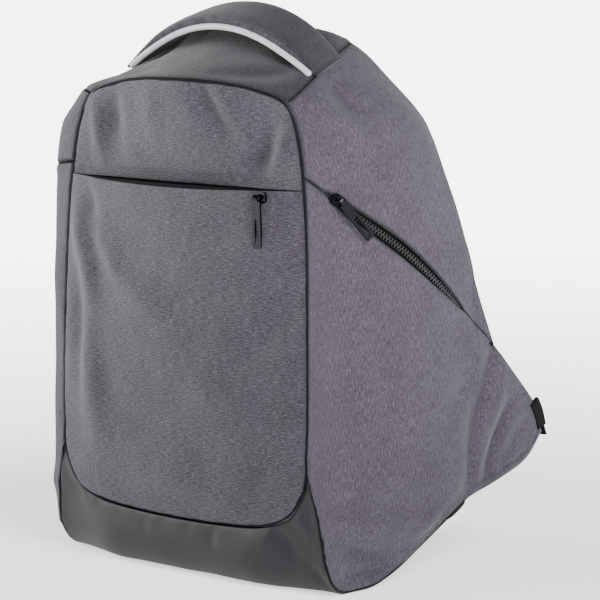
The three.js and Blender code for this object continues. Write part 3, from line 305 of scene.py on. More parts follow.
def seam_lines():
    """The lines that the panels share, finely divided."""
    flat = np.stack([HALF_FRONT * FRONT_SEAM["across"], BODY_DEPTH * FRONT_SEAM["depth"],
                     FRONT_HEIGHT * FRONT_SEAM["height"]], -1)
    rows = np.where(FRONT_SEAM["side"][:, None] > 0, on_side(flat), flat)
    at, station = [], []
    for i, steps in enumerate(FRONT_SEAM["steps"].astype(int)):
        station.append(len(at))
        count = max(steps * FINE, 1)
        at += [i + k / count for k in range(count)]
    at = np.array(at)
    line = along_rows(np.concatenate([mirrored(rows[1:2]), rows, mirrored(rows[-2:-1])]), at + 1)
    on_panel = (at >= TIP_ROW) & (at < SHOULDER_ROW)
    line[on_panel] = on_side(line[on_panel])

    def piece(a, b):
        return line[station[a]:station[b] + 1]

    lines = {"front": line, "station": station, "piece": piece}
    lines["slant"] = on_side(divided(side_rows(SLANT), 12 * FINE))
    lines["shoulder"] = on_side(divided(side_rows(SHOULDER), 12 * FINE))
    lines["rear"] = on_side(divided(side_rows(REAR)[::-1], 8 * FINE))
    lines["wing"] = on_side(divided(side_rows(WING)[::-1], 10 * FINE))
    lines["under"] = on_side(divided(side_rows(UNDER), 12 * FINE))
    return lines


def slant_lip(line, direction, mouth):
    """One lip of the slanting zip's mouth, which narrows to nothing at both ends."""
    share = np.linspace(0, 1, len(line))
    t = np.clip((share - ZIP_START) / (ZIP_END - ZIP_START), 0, 1)
    shift = direction * np.maximum(np.sin(np.pi * t), 0) ** 0.55 * mouth / 2
    ahead = np.gradient(line, axis=0)
    away = np.stack([np.zeros(len(line)), -ahead[:, 2], ahead[:, 1]], -1)
    away /= np.linalg.norm(away, axis=1, keepdims=True)
    return on_side(line + away * shift[:, None])


def mouth_corner(lines):
    return lines["front"][lines["station"][MOUTH_ROW]]


def mouth_line(lines, standoff, drop, count):
    """A lip of the pocket's mouth, standing off and dropping in its middle."""
    corner = mouth_corner(lines)
    u = np.linspace(-1, 1, count + 1)
    out = 1 - u * u
    return np.stack([corner[0] * u, corner[1] - standoff * out, corner[2] - drop * out], -1)


def back_depth(z):
    return BODY_DEPTH * column_at(BACK, "height", "depth", np.asarray(z) / FRONT_HEIGHT)


def unit(v):
    return v / np.maximum(np.linalg.norm(v, axis=-1, keepdims=True), 1e-9)


def heading(line):
    """The direction of a line at each of its points."""
    return unit(np.gradient(line, axis=0))


def cross_rows(grid):
    return unit(np.cross(np.gradient(grid, axis=1), np.gradient(grid, axis=0)))


def faces_centre(grid, centre):
    """Whether the grid's own normals point at the centre and not away from it."""
    return np.sum(cross_rows(grid) * (grid - np.array(centre))) < 0


def grid_normals(grid):
    """Normals that point out of the bag."""
    return cross_rows(grid) * (-1 if faces_centre(grid, MIDDLE) else 1)


def crowd_edges(grid):
    """Extra rows and columns close to the edges, where the cloth turns into its seams."""
    for axis in (0, 1):
        g = np.moveaxis(grid, axis, 0)
        head = [g[0] * (1 - s) + g[1] * s for s in (0, 0.2, 0.45, 0.7)]
        tail = [g[-2] * (1 - s) + g[-1] * s for s in (0.3, 0.55, 0.8, 1)]
        g = np.concatenate([head, g[1:-1], tail])
        grid = np.moveaxis(g, 0, axis)
    return grid


def run_length(points, axis=0):
    """How far each point is from the first one of its line."""
    reached = np.cumsum(np.linalg.norm(np.diff(points, axis=axis), axis=-1), axis=axis)
    return np.concatenate([np.zeros_like(np.take(reached, [0], axis)), reached], axis)


def edge_distance(grid, edges):
    """Distance along the cloth from the nearest named edge, from the first row and from the first column."""
    down, over = run_length(grid), run_length(grid, 1)
    sides = {"low": down, "high": down[-1:] - down, "left": over, "right": over[:, -1:] - over}
    return np.minimum.reduce([sides[name] for name in edges]), down, over


def fold_height(a, b, folds, strength):
    """Height of the folds at the places (a, b) on a panel."""
    total = np.zeros_like(a)
    for a0, b0, a1, b1, rise, wide, lean in zip(*folds.values()):
        da, db = a1 - a0, b1 - b0
        length = math.hypot(da, db)
        t = ((a - a0) * da + (b - b0) * db) / length ** 2
        bend = 0.10 * length * np.sin(np.clip(t, 0, 1) * math.pi) * np.sign(rise)
        off = (-(a - a0) * db + (b - b0) * da) / length - bend * 0.4
        past = np.maximum(np.maximum(-t, t - 1), 0) * length
        ends = np.exp(-(past / (wide * 1.4)) ** 2) * (0.45 + 0.55 * np.sin(np.clip(t, 0, 1) * math.pi))
        s = off / (wide * (1 + 1.2 * np.maximum(-np.sign(off) * lean, 0)))
        total += strength * rise * ends * np.exp(-s * s)
    return total


def ripples(grid, seed, scale, amount):
    """Slow unevenness of filled cloth."""
    flat = grid.reshape(-1, 3) / scale
    values = [noise.noise(Vector((p[0] + seed, p[1], p[2]))) for p in flat]
    return amount * np.array(values).reshape(grid.shape[:2])


def puckers(distance, along, seed, amount):
    """Little gathers that the seam's thread pulls into the cloth."""
    wave = np.sin(along / 3.1 + 1.7 * np.sin(along / 11.0 + seed)) + 0.6 * np.sin(along / 5.3 + seed * 2)
    return amount * wave * np.exp(-distance / 5.5) * (1 - np.exp(-distance / 1.2))


def seam_dip(distance, radius, depth):
    """The round fall of the cloth into its seams."""
    s = np.clip(1 - distance / radius, 0, 1)
    return -depth * (1 - np.sqrt(np.maximum(1 - s * s, 0)))


# Meshes


def metres(points):
    return (np.asarray(points, float) + np.array([0, SEAM_SHIFT, 0])) / 1000


def add_object(name, data):
    thing = bpy.data.objects.new(name, data)
    bpy.context.scene.collection.objects.link(thing)
    return thing


def make_object(name, vertices, faces, material, smooth=True, uv=None):
    name = name.replace(" ", "_")
    mesh = bpy.data.meshes.new(name)
    mesh.from_pydata(metres(vertices).tolist(), [], faces)
    mesh.update()
    if smooth:
        mesh.shade_smooth()
    if uv is not None:
        layer = mesh.uv_layers.new(name="Cloth")
        index = np.empty(len(mesh.loops), int)
        mesh.loops.foreach_get("vertex_index", index)
        layer.data.foreach_set("uv", (np.asarray(uv, float)[index] / 1000).astype(np.float32).ravel())
    mesh.materials.append(material)
    return add_object(name, mesh)


def grid_faces(rows, columns, flip, wrap=False):
    faces = []
    for j in range(rows - 1):
        for i in range(columns if wrap else columns - 1):
            k = (i + 1) % columns
            quad = (j * columns + i, j * columns + k, (j + 1) * columns + k, (j + 1) * columns + i)
            faces.append(quad[::-1] if flip else quad)
    return faces


def end_caps(rows, sides):
    """The faces that close the two ends of a tube."""
    last = (rows - 1) * sides
    return [tuple(range(sides)), tuple(range(last, last + sides))[::-1]]


def mark_painted_shade(piece, values):
    """Keeps how much painted shade each point gets, in the seam attribute that the materials read."""
    shade = piece.data.attributes.new("seam", "FLOAT", "POINT")
    shade.data.foreach_set("value", values.astype(np.float32).ravel())


def settle(piece, slot_name, *replaced):
    """Lets a piece ride on the bag in the place of the named solids. Its slot_name is not used."""
    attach(piece, "root")
    for node in replaced:
        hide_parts(node)


def cloth_object(name, grid, uv, material, thickness, centre=MIDDLE):
    """A panel of cloth: the grid is its outer face, and its thickness goes inwards."""
    faces = grid_faces(grid.shape[0], grid.shape[1], faces_centre(grid, centre))
    piece = make_object(name, grid.reshape(-1, 3), faces, material, uv=uv.reshape(-1, 2))
    wall = piece.modifiers.new("Cloth thickness", "SOLIDIFY")
    wall.thickness = thickness / 1000
    wall.offset = -1
    wall.use_even_offset = False
    return piece


def tube(name, line, radius, material, sides, closed=False, wave=None):
    """A cord along a line; wave(distance) changes its radius."""
    line = np.asarray(line, float)
    ahead = unit(np.gradient(line, axis=0) if not closed else np.roll(line, -1, 0) - np.roll(line, 1, 0))
    side = np.zeros_like(line)
    side[0] = unit(np.cross(ahead[0], [0.3, 0.2, 1.0]))
    for k in range(1, len(line)):
        side[k] = unit(side[k - 1] - ahead[k] * np.dot(side[k - 1], ahead[k]))
    up = np.cross(ahead, side)
    along = run_length(line)
    size = radius * (wave(along) if wave else np.ones(len(line)))
    angle = np.linspace(0, 2 * math.pi, sides, endpoint=False)
    ring = np.cos(angle)[None, :, None] * side[:, None] + np.sin(angle)[None, :, None] * up[:, None]
    grid = line[:, None] + ring * size[:, None, None]
    faces = grid_faces(len(line), sides, True, wrap=True)
    if closed:
        last = (len(line) - 1) * sides
        faces += [(last + (i + 1) % sides, last + i, i, (i + 1) % sides)[::-1] for i in range(sides)]
    else:
        faces += end_caps(len(line), sides)
    uv = np.stack([np.repeat(along, sides), np.tile(angle * radius, len(line))], -1)
    return make_object(name, grid.reshape(-1, 3), faces, material, uv=uv)


def sweep(name, line, across, widths, thicks, material, power, points, shape=None, mark=None):
    """A padded band along a line with a rounded section; shape(along, wide, thick) raises its faces, and
    mark(along, wide, thick) gives each point's painted shade.
    """
    up = unit(np.cross(across, heading(line)))
    angle = np.linspace(0, 2 * math.pi, points, endpoint=False)
    wide = np.sign(np.cos(angle)) * np.abs(np.cos(angle)) ** (2 / power)
    thick = np.sign(np.sin(angle)) * np.abs(np.sin(angle)) ** (2 / power)
    along = run_length(line)
    extra = shape(along[:, None], wide[None], thick[None]) if shape else np.zeros((len(line), points))
    w = widths[:, None] / 2 * wide[None]
    t = thicks[:, None] / 2 * thick[None] + extra
    grid = line[:, None] + across[:, None] * w[..., None] + up[:, None] * t[..., None]
    faces = grid_faces(len(line), points, True, wrap=True)
    faces += end_caps(len(line), points)
    uv = np.stack([np.repeat(along, points), w.reshape(-1)], -1)
    piece = make_object(name, grid.reshape(-1, 3), faces, material, uv=uv)
    fix_outside(piece)
    if mark:
        mark_painted_shade(piece, mark(along[:, None], wide[None], thick[None]))
    return piece


def fix_outside(piece):
    """Turns the faces outwards where the mesh's volume comes out negative."""
    mesh = piece.data
    volume = 0.0
    for face in mesh.polygons:
        a = mesh.vertices[face.vertices[0]].co
        for k in range(1, len(face.vertices) - 1):
            b, c = mesh.vertices[face.vertices[k]].co, mesh.vertices[face.vertices[k + 1]].co
            volume += a.dot(b.cross(c))
    if volume < 0:
        mesh.flip_normals()


# Finishes


def node_group(name, inputs, outputs):
    group = bpy.data.node_groups.new(name, "ShaderNodeTree")
    for label, kind, default in inputs:
        socket = group.interface.new_socket(name=label, in_out="INPUT", socket_type=kind)
        if default is not None:
            socket.default_value = default
    for label, kind in outputs:
        group.interface.new_socket(name=label, in_out="OUTPUT", socket_type=kind)
    return group, group.nodes.new("NodeGroupInput"), group.nodes.new("NodeGroupOutput")


def set_values(node, **values):
    """Sets inputs of a node, whose labels are written here with _ for each space."""
    for label, value in values.items():
        node.inputs[label.replace("_", " ")].default_value = value


def math_node(tree, operation, *values, clamp=False):
    node = tree.nodes.new("ShaderNodeMath")
    node.operation = operation
    node.use_clamp = clamp
    for socket, value in zip(node.inputs, values):
        if isinstance(value, (int, float)):
            socket.default_value = value
        else:
            tree.links.new(value, socket)
    return node.outputs[0]


def noise_node(tree, vector, scale, detail, rough=0.5):
    """Noise with its own scale along and across the threads."""
    stretch = tree.nodes.new("ShaderNodeMapping")
    stretch.inputs["Scale"].default_value = scale
    tree.links.new(vector, stretch.inputs["Vector"])
    node = tree.nodes.new("ShaderNodeTexNoise")
    set_values(node, Scale=1, Detail=detail, Roughness=rough)
    tree.links.new(stretch.outputs[0], node.inputs["Vector"])
    return node.outputs["Fac"]


def mix_colour(tree, share, first, second):
    node = tree.nodes.new("ShaderNodeMix")
    node.data_type = "RGBA"
    tree.links.new(share, node.inputs["Factor"])
    for socket, value in ((node.inputs["A"], first), (node.inputs["B"], second)):
        if isinstance(value, tuple):
            socket.default_value = (*value, 1)
        else:
            tree.links.new(value, socket)
    return node.outputs["Result"]


def heather_group():
    """Two-tone cloth: light and dark yarn in short streaks along U."""
    group, given, result = node_group("Heather yarn", [
        ("Vector", "NodeSocketVector", None), ("Light", "NodeSocketColor", (0.3, 0.3, 0.3, 1)),
        ("Dark", "NodeSocketColor", (0.1, 0.1, 0.1, 1)), ("Contrast", "NodeSocketFloat", 1.0)],
        [("Color", "NodeSocketColor"), ("Height", "NodeSocketFloat")])
    vector = given.outputs["Vector"]
    streaks = noise_node(group, vector, (400, 2000, 1), 2, 0.6)
    longer = noise_node(group, vector, (150, 1600, 1), 1)
    clouds = noise_node(group, vector, (26, 40, 1), 2)
    cross = noise_node(group, vector, (1300, 1300, 1), 1)
    mixed = math_node(group, "MULTIPLY", streaks, 0.46)
    for yarn, weight in ((longer, 0.30), (cross, 0.18), (clouds, 0.06)):
        mixed = math_node(group, "ADD", mixed, math_node(group, "MULTIPLY", yarn, weight))
    centred = math_node(group, "SUBTRACT", mixed, 0.5)
    gain = math_node(group, "MULTIPLY", given.outputs["Contrast"], 4.2)
    share = math_node(group, "ADD", math_node(group, "MULTIPLY", centred, gain), 0.5, clamp=True)
    share = math_node(group, "POWER", share, 1.6)
    colour = mix_colour(group, share, given.outputs["Dark"], given.outputs["Light"])
    group.links.new(colour, result.inputs["Color"])
    weave = group.nodes.new("ShaderNodeTexVoronoi")
    weave.inputs["Scale"].default_value = 1600
    group.links.new(vector, weave.inputs["Vector"])
    height = math_node(group, "ADD", math_node(group, "MULTIPLY", share, 0.6),
                       math_node(group, "MULTIPLY", weave.outputs["Distance"], 0.5))
    group.links.new(height, result.inputs["Height"])
    return group


def grain_group():
    """Fine grain: a height from cells and noise, for coated cloth, webbing and plastic."""
    group, given, result = node_group("Fine grain", [
        ("Vector", "NodeSocketVector", None), ("Cells", "NodeSocketFloat", 900.0)],
        [("Height", "NodeSocketFloat"), ("Mask", "NodeSocketFloat")])
    cells = group.nodes.new("ShaderNodeTexVoronoi")
    cells.feature = "DISTANCE_TO_EDGE"
    group.links.new(given.outputs["Vector"], cells.inputs["Vector"])
    group.links.new(given.outputs["Cells"], cells.inputs["Scale"])
    clouds = noise_node(group, given.outputs["Vector"], (40, 40, 40), 4, 0.6)
    group.links.new(cells.outputs["Distance"], result.inputs["Height"])
    group.links.new(clouds, result.inputs["Mask"])
    return group


def principled(name):
    material = bpy.data.materials.new(name)
    material.use_nodes = True
    tree = material.node_tree
    return material, tree, tree.nodes["Principled BSDF"]


def group_node(tree, group, vector, **values):
    """A shared effect placed in a material with its own values."""
    node = tree.nodes.new("ShaderNodeGroup")
    node.node_tree = group
    tree.links.new(vector, node.inputs["Vector"])
    set_values(node, **values)
    return node


def cloth_vector(tree, turn=0.0):
    """Places on the cloth in metres, turned to the yarn's direction."""
    source = tree.nodes.new("ShaderNodeUVMap")
    source.uv_map = "Cloth"
    turned = tree.nodes.new("ShaderNodeMapping")
    turned.inputs["Rotation"].default_value = (0, 0, turn)
    tree.links.new(source.outputs["UV"], turned.inputs["Vector"])
    return turned.outputs[0]


def bump(tree, height, shader, strength, distance):
    node = tree.nodes.new("ShaderNodeBump")
    set_values(node, Strength=strength, Distance=distance)
    tree.links.new(height, node.inputs["Height"])
    tree.links.new(node.outputs[0], shader.inputs["Normal"])


def seam_shade(tree, colour):
    """Paints shade into the colour, towards near black, from the seam attribute: in the seams' grooves, in
    deep creases, and at the handle's ends and stitching.
    """
    mark = tree.nodes.new("ShaderNodeAttribute")
    mark.attribute_name = "seam"
    share = math_node(tree, "MULTIPLY", mark.outputs["Fac"], 0.9, clamp=True)
    return mix_colour(tree, share, colour, (0.004, 0.004, 0.005))


def heather_material(name, group, turn, light, dark, contrast):
    """Two-tone cloth with its yarn turned to one direction."""
    material, tree, shader = principled(name)
    yarn = group_node(tree, group, cloth_vector(tree, turn), Light=(*light, 1), Dark=(*dark, 1),
                      Contrast=contrast)
    tree.links.new(seam_shade(tree, yarn.outputs["Color"]), shader.inputs["Base Color"])
    bump(tree, yarn.outputs["Height"], shader, 0.35, 0.0004)
    set_values(shader, Roughness=0.85, Specular_IOR_Level=0.25, Sheen_Weight=0.12, Sheen_Roughness=0.5)
    return material


def plain_material(name, group, colour, rough, metal=0.0, cells=900.0, strength=0.2, specular=0.5, spread=0.08,
                   on_cloth=False):
    """One colour with a fine grain and slightly uneven gloss."""
    material, tree, shader = principled(name)
    vector = cloth_vector(tree) if on_cloth else tree.nodes.new("ShaderNodeTexCoord").outputs["Object"]
    grain = group_node(tree, group, vector, Cells=cells)
    lighter = tuple(min(c * 1.12 + 0.002, 1) for c in colour)
    ground = mix_colour(tree, grain.outputs["Mask"], colour, lighter)
    tree.links.new(seam_shade(tree, ground), shader.inputs["Base Color"])
    uneven = math_node(tree, "MULTIPLY", grain.outputs["Mask"], spread * 2)
    tree.links.new(math_node(tree, "ADD", uneven, rough - spread), shader.inputs["Roughness"])
    bump(tree, grain.outputs["Height"], shader, strength, 0.0002)
    set_values(shader, Metallic=metal, Specular_IOR_Level=specular)
    return material


def ribbed_material(name, colour, pitch, strength, distance, rough):
    """Ribs across the length of a band or cord, as in webbing and grosgrain."""
    material, tree, shader = principled(name)
    parts = tree.nodes.new("ShaderNodeSeparateXYZ")
    tree.links.new(cloth_vector(tree), parts.inputs[0])
    wave = math_node(tree, "SINE", math_node(tree, "MULTIPLY", parts.outputs["X"], 2 * math.pi / pitch))
    share = math_node(tree, "ADD", math_node(tree, "MULTIPLY", wave, 0.35), 0.5, clamp=True)
    tree.links.new(mix_colour(tree, share, scaled(colour, 0.72), colour), shader.inputs["Base Color"])
    bump(tree, wave, shader, strength, distance)
    set_values(shader, Roughness=rough, Specular_IOR_Level=0.1)
    return material


def mesh_material(name, colour):
    """Air mesh: small dark holes in a soft black ground."""
    material, tree, shader = principled(name)
    cells = tree.nodes.new("ShaderNodeTexVoronoi")
    set_values(cells, Scale=330, Randomness=0.25)
    tree.links.new(cloth_vector(tree), cells.inputs["Vector"])
    share = math_node(tree, "MULTIPLY", cells.outputs["Distance"], 1.6, clamp=True)
    tree.links.new(mix_colour(tree, share, scaled(colour, 0.25), colour), shader.inputs["Base Color"])
    bump(tree, share, shader, 0.6, 0.0008)
    set_values(shader, Roughness=0.9, Specular_IOR_Level=0.2)
    return material


def scaled(colour, *shares):
    """A colour times one share, or times a share each for red, green and blue."""
    shares = shares * 3 if len(shares) == 1 else shares
    return tuple(c * share for c, share in zip(colour, shares))


_materials = {}


def materials():
    """All finishes, made once from the colours in the sidebar."""
    if _materials:
        return _materials
    looks = bpy.context.scene.bag_looks
    heather, grain = heather_group(), grain_group()
    light, dark, black = tuple(looks.yarn_light), tuple(looks.yarn_dark), tuple(looks.black)
    streaks, side_streaks = looks.streaks, looks.streaks * 0.8
    slope = math.radians(80)
    _materials.update({
        "front": heather_material("Grey cloth, front", heather, 0.0, light, dark, streaks),
        # The top's cloth, also worn by the handle, is a darker copy of the front's: painted shade on the top,
        # which gets little light.
        "top": heather_material("Grey cloth, top, painted shade", heather, 0.0, scaled(light, 0.62), scaled(dark, 0.62),
                                streaks),
        # The right side's cloth is a lighter copy of the front's: painted light on the side that faces the
        # right light.
        "right": heather_material("Grey cloth, right side, painted light", heather, slope, scaled(light, 1.24, 1.23, 1.27),
                                  scaled(dark, 1.27, 1.25, 1.30), side_streaks),
        "left": heather_material("Grey cloth, left side", heather, -slope, light, dark, side_streaks),
        "base": plain_material("Coated base cloth", grain, tuple(looks.base), 0.55, cells=750, strength=0.16,
                               specular=0.22, on_cloth=True),
        "binding": plain_material("Seam binding", grain, tuple(looks.seam), 0.85, cells=1500, strength=0.3,
                                  specular=0.04),
        "cord": ribbed_material("Light ribbed cord", tuple(looks.cord), 0.0019, 0.5, 0.0004, 0.75),
        "tape": ribbed_material("Zip tape", scaled(black, 0.5), 0.0011, 0.3, 0.0002, 0.85),
        "webbing": ribbed_material("Black webbing", black, 0.0016, 0.5, 0.0003, 0.75),
        "mesh": mesh_material("Back mesh", scaled(black, 1.5)),
        "metal": plain_material("Black enamelled metal", grain, scaled(black, 2.2), 0.2, metal=0.9, cells=300,
                                strength=0.02, spread=0.05),
        "teeth": plain_material("Zip coil", grain, scaled(black, 5.0), 0.35, cells=600, strength=0.1),
        "plastic": plain_material("Moulded plastic", grain, black, 0.45, cells=1100, strength=0.12,
                                  specular=0.3),
    })
    return _materials


# Pieces


def wing_hem(grid, down, over):
    """The turned-in hem along the wing's lower and rear edges, with its line of thread."""
    below = down[-1:] - down
    share = np.linspace(0, 1, grid.shape[1])[None]
    lower = np.clip((share - 0.74) / 0.04, 0, 1)
    line = -0.9 * np.exp(-((below - 7.5) / 1.3) ** 2) + 0.5 * np.exp(-((below - 3.5) / 2.0) ** 2)
    gathers = 0.35 * np.sin(over / 2.9) * np.exp(-((below - 7.5) / 5.0) ** 2)
    return (line + gathers) * lower


def dressed(name, grid, folds, plane, seed, finish, node, slot_name="grey_cloth", edges=ALL_EDGES, uv_of=None,
            dip=2.3, radius=4.8, hem=False, loose=1.0):
    """A sewn panel with its folds, its unevenness and its edges turned into the seams."""
    grid = filled(crowd_edges(grid))
    distance, down, over = edge_distance(grid, edges)
    calm = 1 - np.exp(-(distance / 9) ** 2)
    creases = fold_height(grid[..., plane[0]], grid[..., plane[1]], folds, bpy.context.scene.bag_looks.folds)
    height = creases * (0.25 + 0.75 * calm)
    height = height + ripples(grid, seed, 62, 1.7 * loose) * calm
    height = height + ripples(grid, seed + 9, 24, 0.55 * loose) * calm
    height = height + puckers(distance, down + over, seed, 0.28)
    if hem:
        height = height + wing_hem(grid, down, over)
    free = edge_distance(grid, ALL_EDGES)[0]
    height = height * np.minimum(free / 3.0, 1.0) + seam_dip(distance, radius, dip)
    moved = grid + grid_normals(grid) * height[..., None]
    moved[..., 2] = np.maximum(moved[..., 2], 0.0)
    piece = cloth_object(name, moved, uv_of(grid) if uv_of else grid[..., plane], finish, CLOTH_WALL)
    # Painted shade: darker where the cloth turns into its seams, and in the deepest creases.
    mark_painted_shade(piece, np.maximum(np.exp(-(distance / 2.3) ** 2), np.clip((-creases - 2) / 12, 0, 0.35)))
    settle(piece, slot_name, node)


def side_uv(grid):
    """Along the cloth rather than across its turned corner."""
    return np.stack([run_length(grid, 1) + grid[:, :1, 1], grid[..., 2]], -1)


def base_uv(grid):
    return np.stack([grid[..., 0], run_length(grid)], -1)


def base_grid(lines):
    """The base from its front edge to the back, flat in its middle and turned up at its sides."""
    across = across_middle(lines["piece"](0, TIP_ROW))
    share = across[:, 0] / across[-1, 0]
    rise = eased(np.clip((np.abs(share) - FLAT_SHARE) / (1 - FLAT_SHARE), 0, 1))
    under = lines["under"][:BASE_ROWS * FINE + 1]
    rows = [across]
    for k in range(1, BASE_ROWS + 1):
        edge = under[k * FINE]
        rows.append(np.stack([edge[0] * share,
                              BODY_DEPTH * BASE["depth"][k] * (1 - rise) + edge[1] * rise,
                              FRONT_HEIGHT * BASE["height"][k] * (1 - rise) + edge[2] * rise], -1))
    grid = divided(np.array(rows), BASE_ROWS * FINE)
    grid[:, 0] = mirrored(under)
    grid[:, -1] = under
    return grid


def top_rear(top_across, corner):
    u = np.linspace(-1, 1, len(top_across))
    return np.stack([corner[0] * u, np.full(len(u), corner[1]),
                     CROWN_HEIGHT * (1 - u * u) + corner[2] * u * u], -1)


def panel_grids(lines):
    """The panels between their seams, before any folds."""
    looks = bpy.context.scene.bag_looks
    piece, shoulder, side_mouth = lines["piece"], lines["shoulder"], looks.side_mouth * 1000
    bottom = across_middle(piece(0, CORNER_ROW))
    count = len(bottom) - 1
    top = across_middle(piece(SHOULDER_ROW, LAST_ROW)[::-1])
    seam, upper_seam = piece(CORNER_ROW, MOUTH_ROW), piece(MOUTH_ROW, SHOULDER_ROW)
    mouth = mouth_line(lines, POCKET_MOUTH + UPPER_BULGE, POCKET_DIP, count)
    upper_lip = mouth_line(lines, UPPER_BULGE, 0, count)
    return {
        "pocket": belly(patch(bottom, mouth, mirrored(seam), seam), looks.belly * 1000),
        "upper": belly(patch(upper_lip, top, mirrored(upper_seam), upper_seam), UPPER_BULGE),
        "side_lower": on_side(patch(slant_lip(lines["slant"], -1, side_mouth), lines["under"],
                                    piece(TIP_ROW, ZIP_ROW)[::-1], lines["wing"][::-1])),
        "side_upper": on_side(patch(slant_lip(lines["slant"], 1, side_mouth), shoulder,
                                    piece(ZIP_ROW, SHOULDER_ROW), lines["rear"])),
        "top": patch(top, top_rear(top, shoulder[-1]), mirrored(shoulder), shoulder),
        "base": base_grid(lines),
    }


def seam_cord(title, line, cord, finish, *replaced):
    """A dark seam edge, sunk in the groove between two panels."""
    inward = unit(np.array(cord["towards"]) - line)
    piece = tube(title, line + inward * cord["depth"], cord["radius"], finish, cord["sides"], cord["closed"])
    settle(piece, "seam_binding", *replaced)


class BAG_OT_panels(bpy.types.Operator):
    """Sew the front, pocket, side, top and base panels"""

    bl_idname = "bag.panels"
    bl_label = "Sewn panels"

    def execute(self, context):
        finish = materials()
        lines = seam_lines()
        grids = panel_grids(lines)
        dressed("Pocket panel", grids["pocket"], POCKET_FOLDS, FRONT_PLANE, 1.0, finish["front"],
                "pocket_panel", edges=("low", "left", "right"))
        dressed("Upper front panel", grids["upper"], UPPER_FOLDS, FRONT_PLANE, 4.0, finish["front"],
                "front_upper", edges=("high", "left", "right"))
        for side, lower_seed, upper_seed in (("right", 20.0, 46.0), ("left", 33.0, 58.0)):
            lower, upper = (finer(grids[part]) * TURNS[side] for part in ("side_lower", "side_upper"))
            dressed(f"Lower side panel {side}", lower, SIDE_FOLDS, SIDE_PLANE, lower_seed, finish[side],
                    f"side_lower_{side}", uv_of=side_uv, dip=2.0, radius=4.4, hem=True)
            dressed(f"Upper side panel {side}", upper, SIDE_UPPER_FOLDS, SIDE_PLANE, upper_seed, finish[side],
                    f"side_upper_{side}", uv_of=side_uv, dip=2.0, radius=4.4)
        dressed("Top panel", grids["top"], TOP_FOLDS, TOP_PLANE, 71.0, finish["top"], "top_panel")
        dressed("Coated base", grids["base"], BASE_FOLDS, FRONT_PLANE, 83.0, finish["base"], "base_panel",
                slot_name="coated_base", uv_of=base_uv, dip=1.5, radius=5.0, loose=0.35)
        paint(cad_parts["pocket_back"], finish["front"])
        self.seams(lines, finish["binding"])
        return {"FINISHED"}

    def seams(self, lines, finish):
        """The front seam's ring, and the seams between the side, the top and the base."""
        ring = across_middle(lines["front"])[:-1]
        seam_cord("Front seam binding", ring, FRONT_CORD, finish, "front_seam_binding")
        share = np.linspace(0, 1, len(lines["slant"]))
        runs = {"Shoulder seam {}": lines["shoulder"],
                "Slanting seam {} fore": lines["slant"][share <= ZIP_START - 0.02],
                "Slanting seam {} aft": lines["slant"][share >= ZIP_END + 0.01],
                "Base seam {}": lines["under"][:BASE_ROWS * FINE + 1]}
        for side, turn in TURNS.items():
            for title, run in runs.items():
                seam_cord(title.format(side), filled(run * turn), SEAM_CORD, finish)


def paint(piece, material):
    piece.data.materials.clear()
    piece.data.materials.append(material)


def soften(piece, width):
    """Rounds the hard edges of a small solid."""
    edge = piece.modifiers.new("Rounded edges", "BEVEL")
    edge.width = width / 1000
    edge.segments = 3
    edge.limit_method = "ANGLE"
    edge.angle_limit = math.radians(35)
    edge.harden_normals = False
    piece.data.shade_smooth()
    crisp = piece.modifiers.new("Even faces", "WEIGHTED_NORMAL")
    crisp.keep_sharp = True


def back_surface(lines, rows, columns):
    """The back panel's face between the sides, from the base's rear edge to the top panel's."""
    u = np.linspace(-1, 1, columns)
    rear = base_grid(lines)[-1]
    low = np.interp(u, rear[:, 0] / rear[-1, 0], rear[:, 2]) + CLOTH
    high = CROWN_HEIGHT * (1 - u * u) + lines["shoulder"][-1][2] * u * u - CLOTH
    v = np.linspace(0, 1, rows)[:, None]
    z = low[None] * (1 - v) + high[None] * v
    y = back_depth(z)
    half = side_x(y, z) - BACK_INSET / side_normal(y, z)[..., 0]
    return np.stack([half * u[None], y, z], -1)


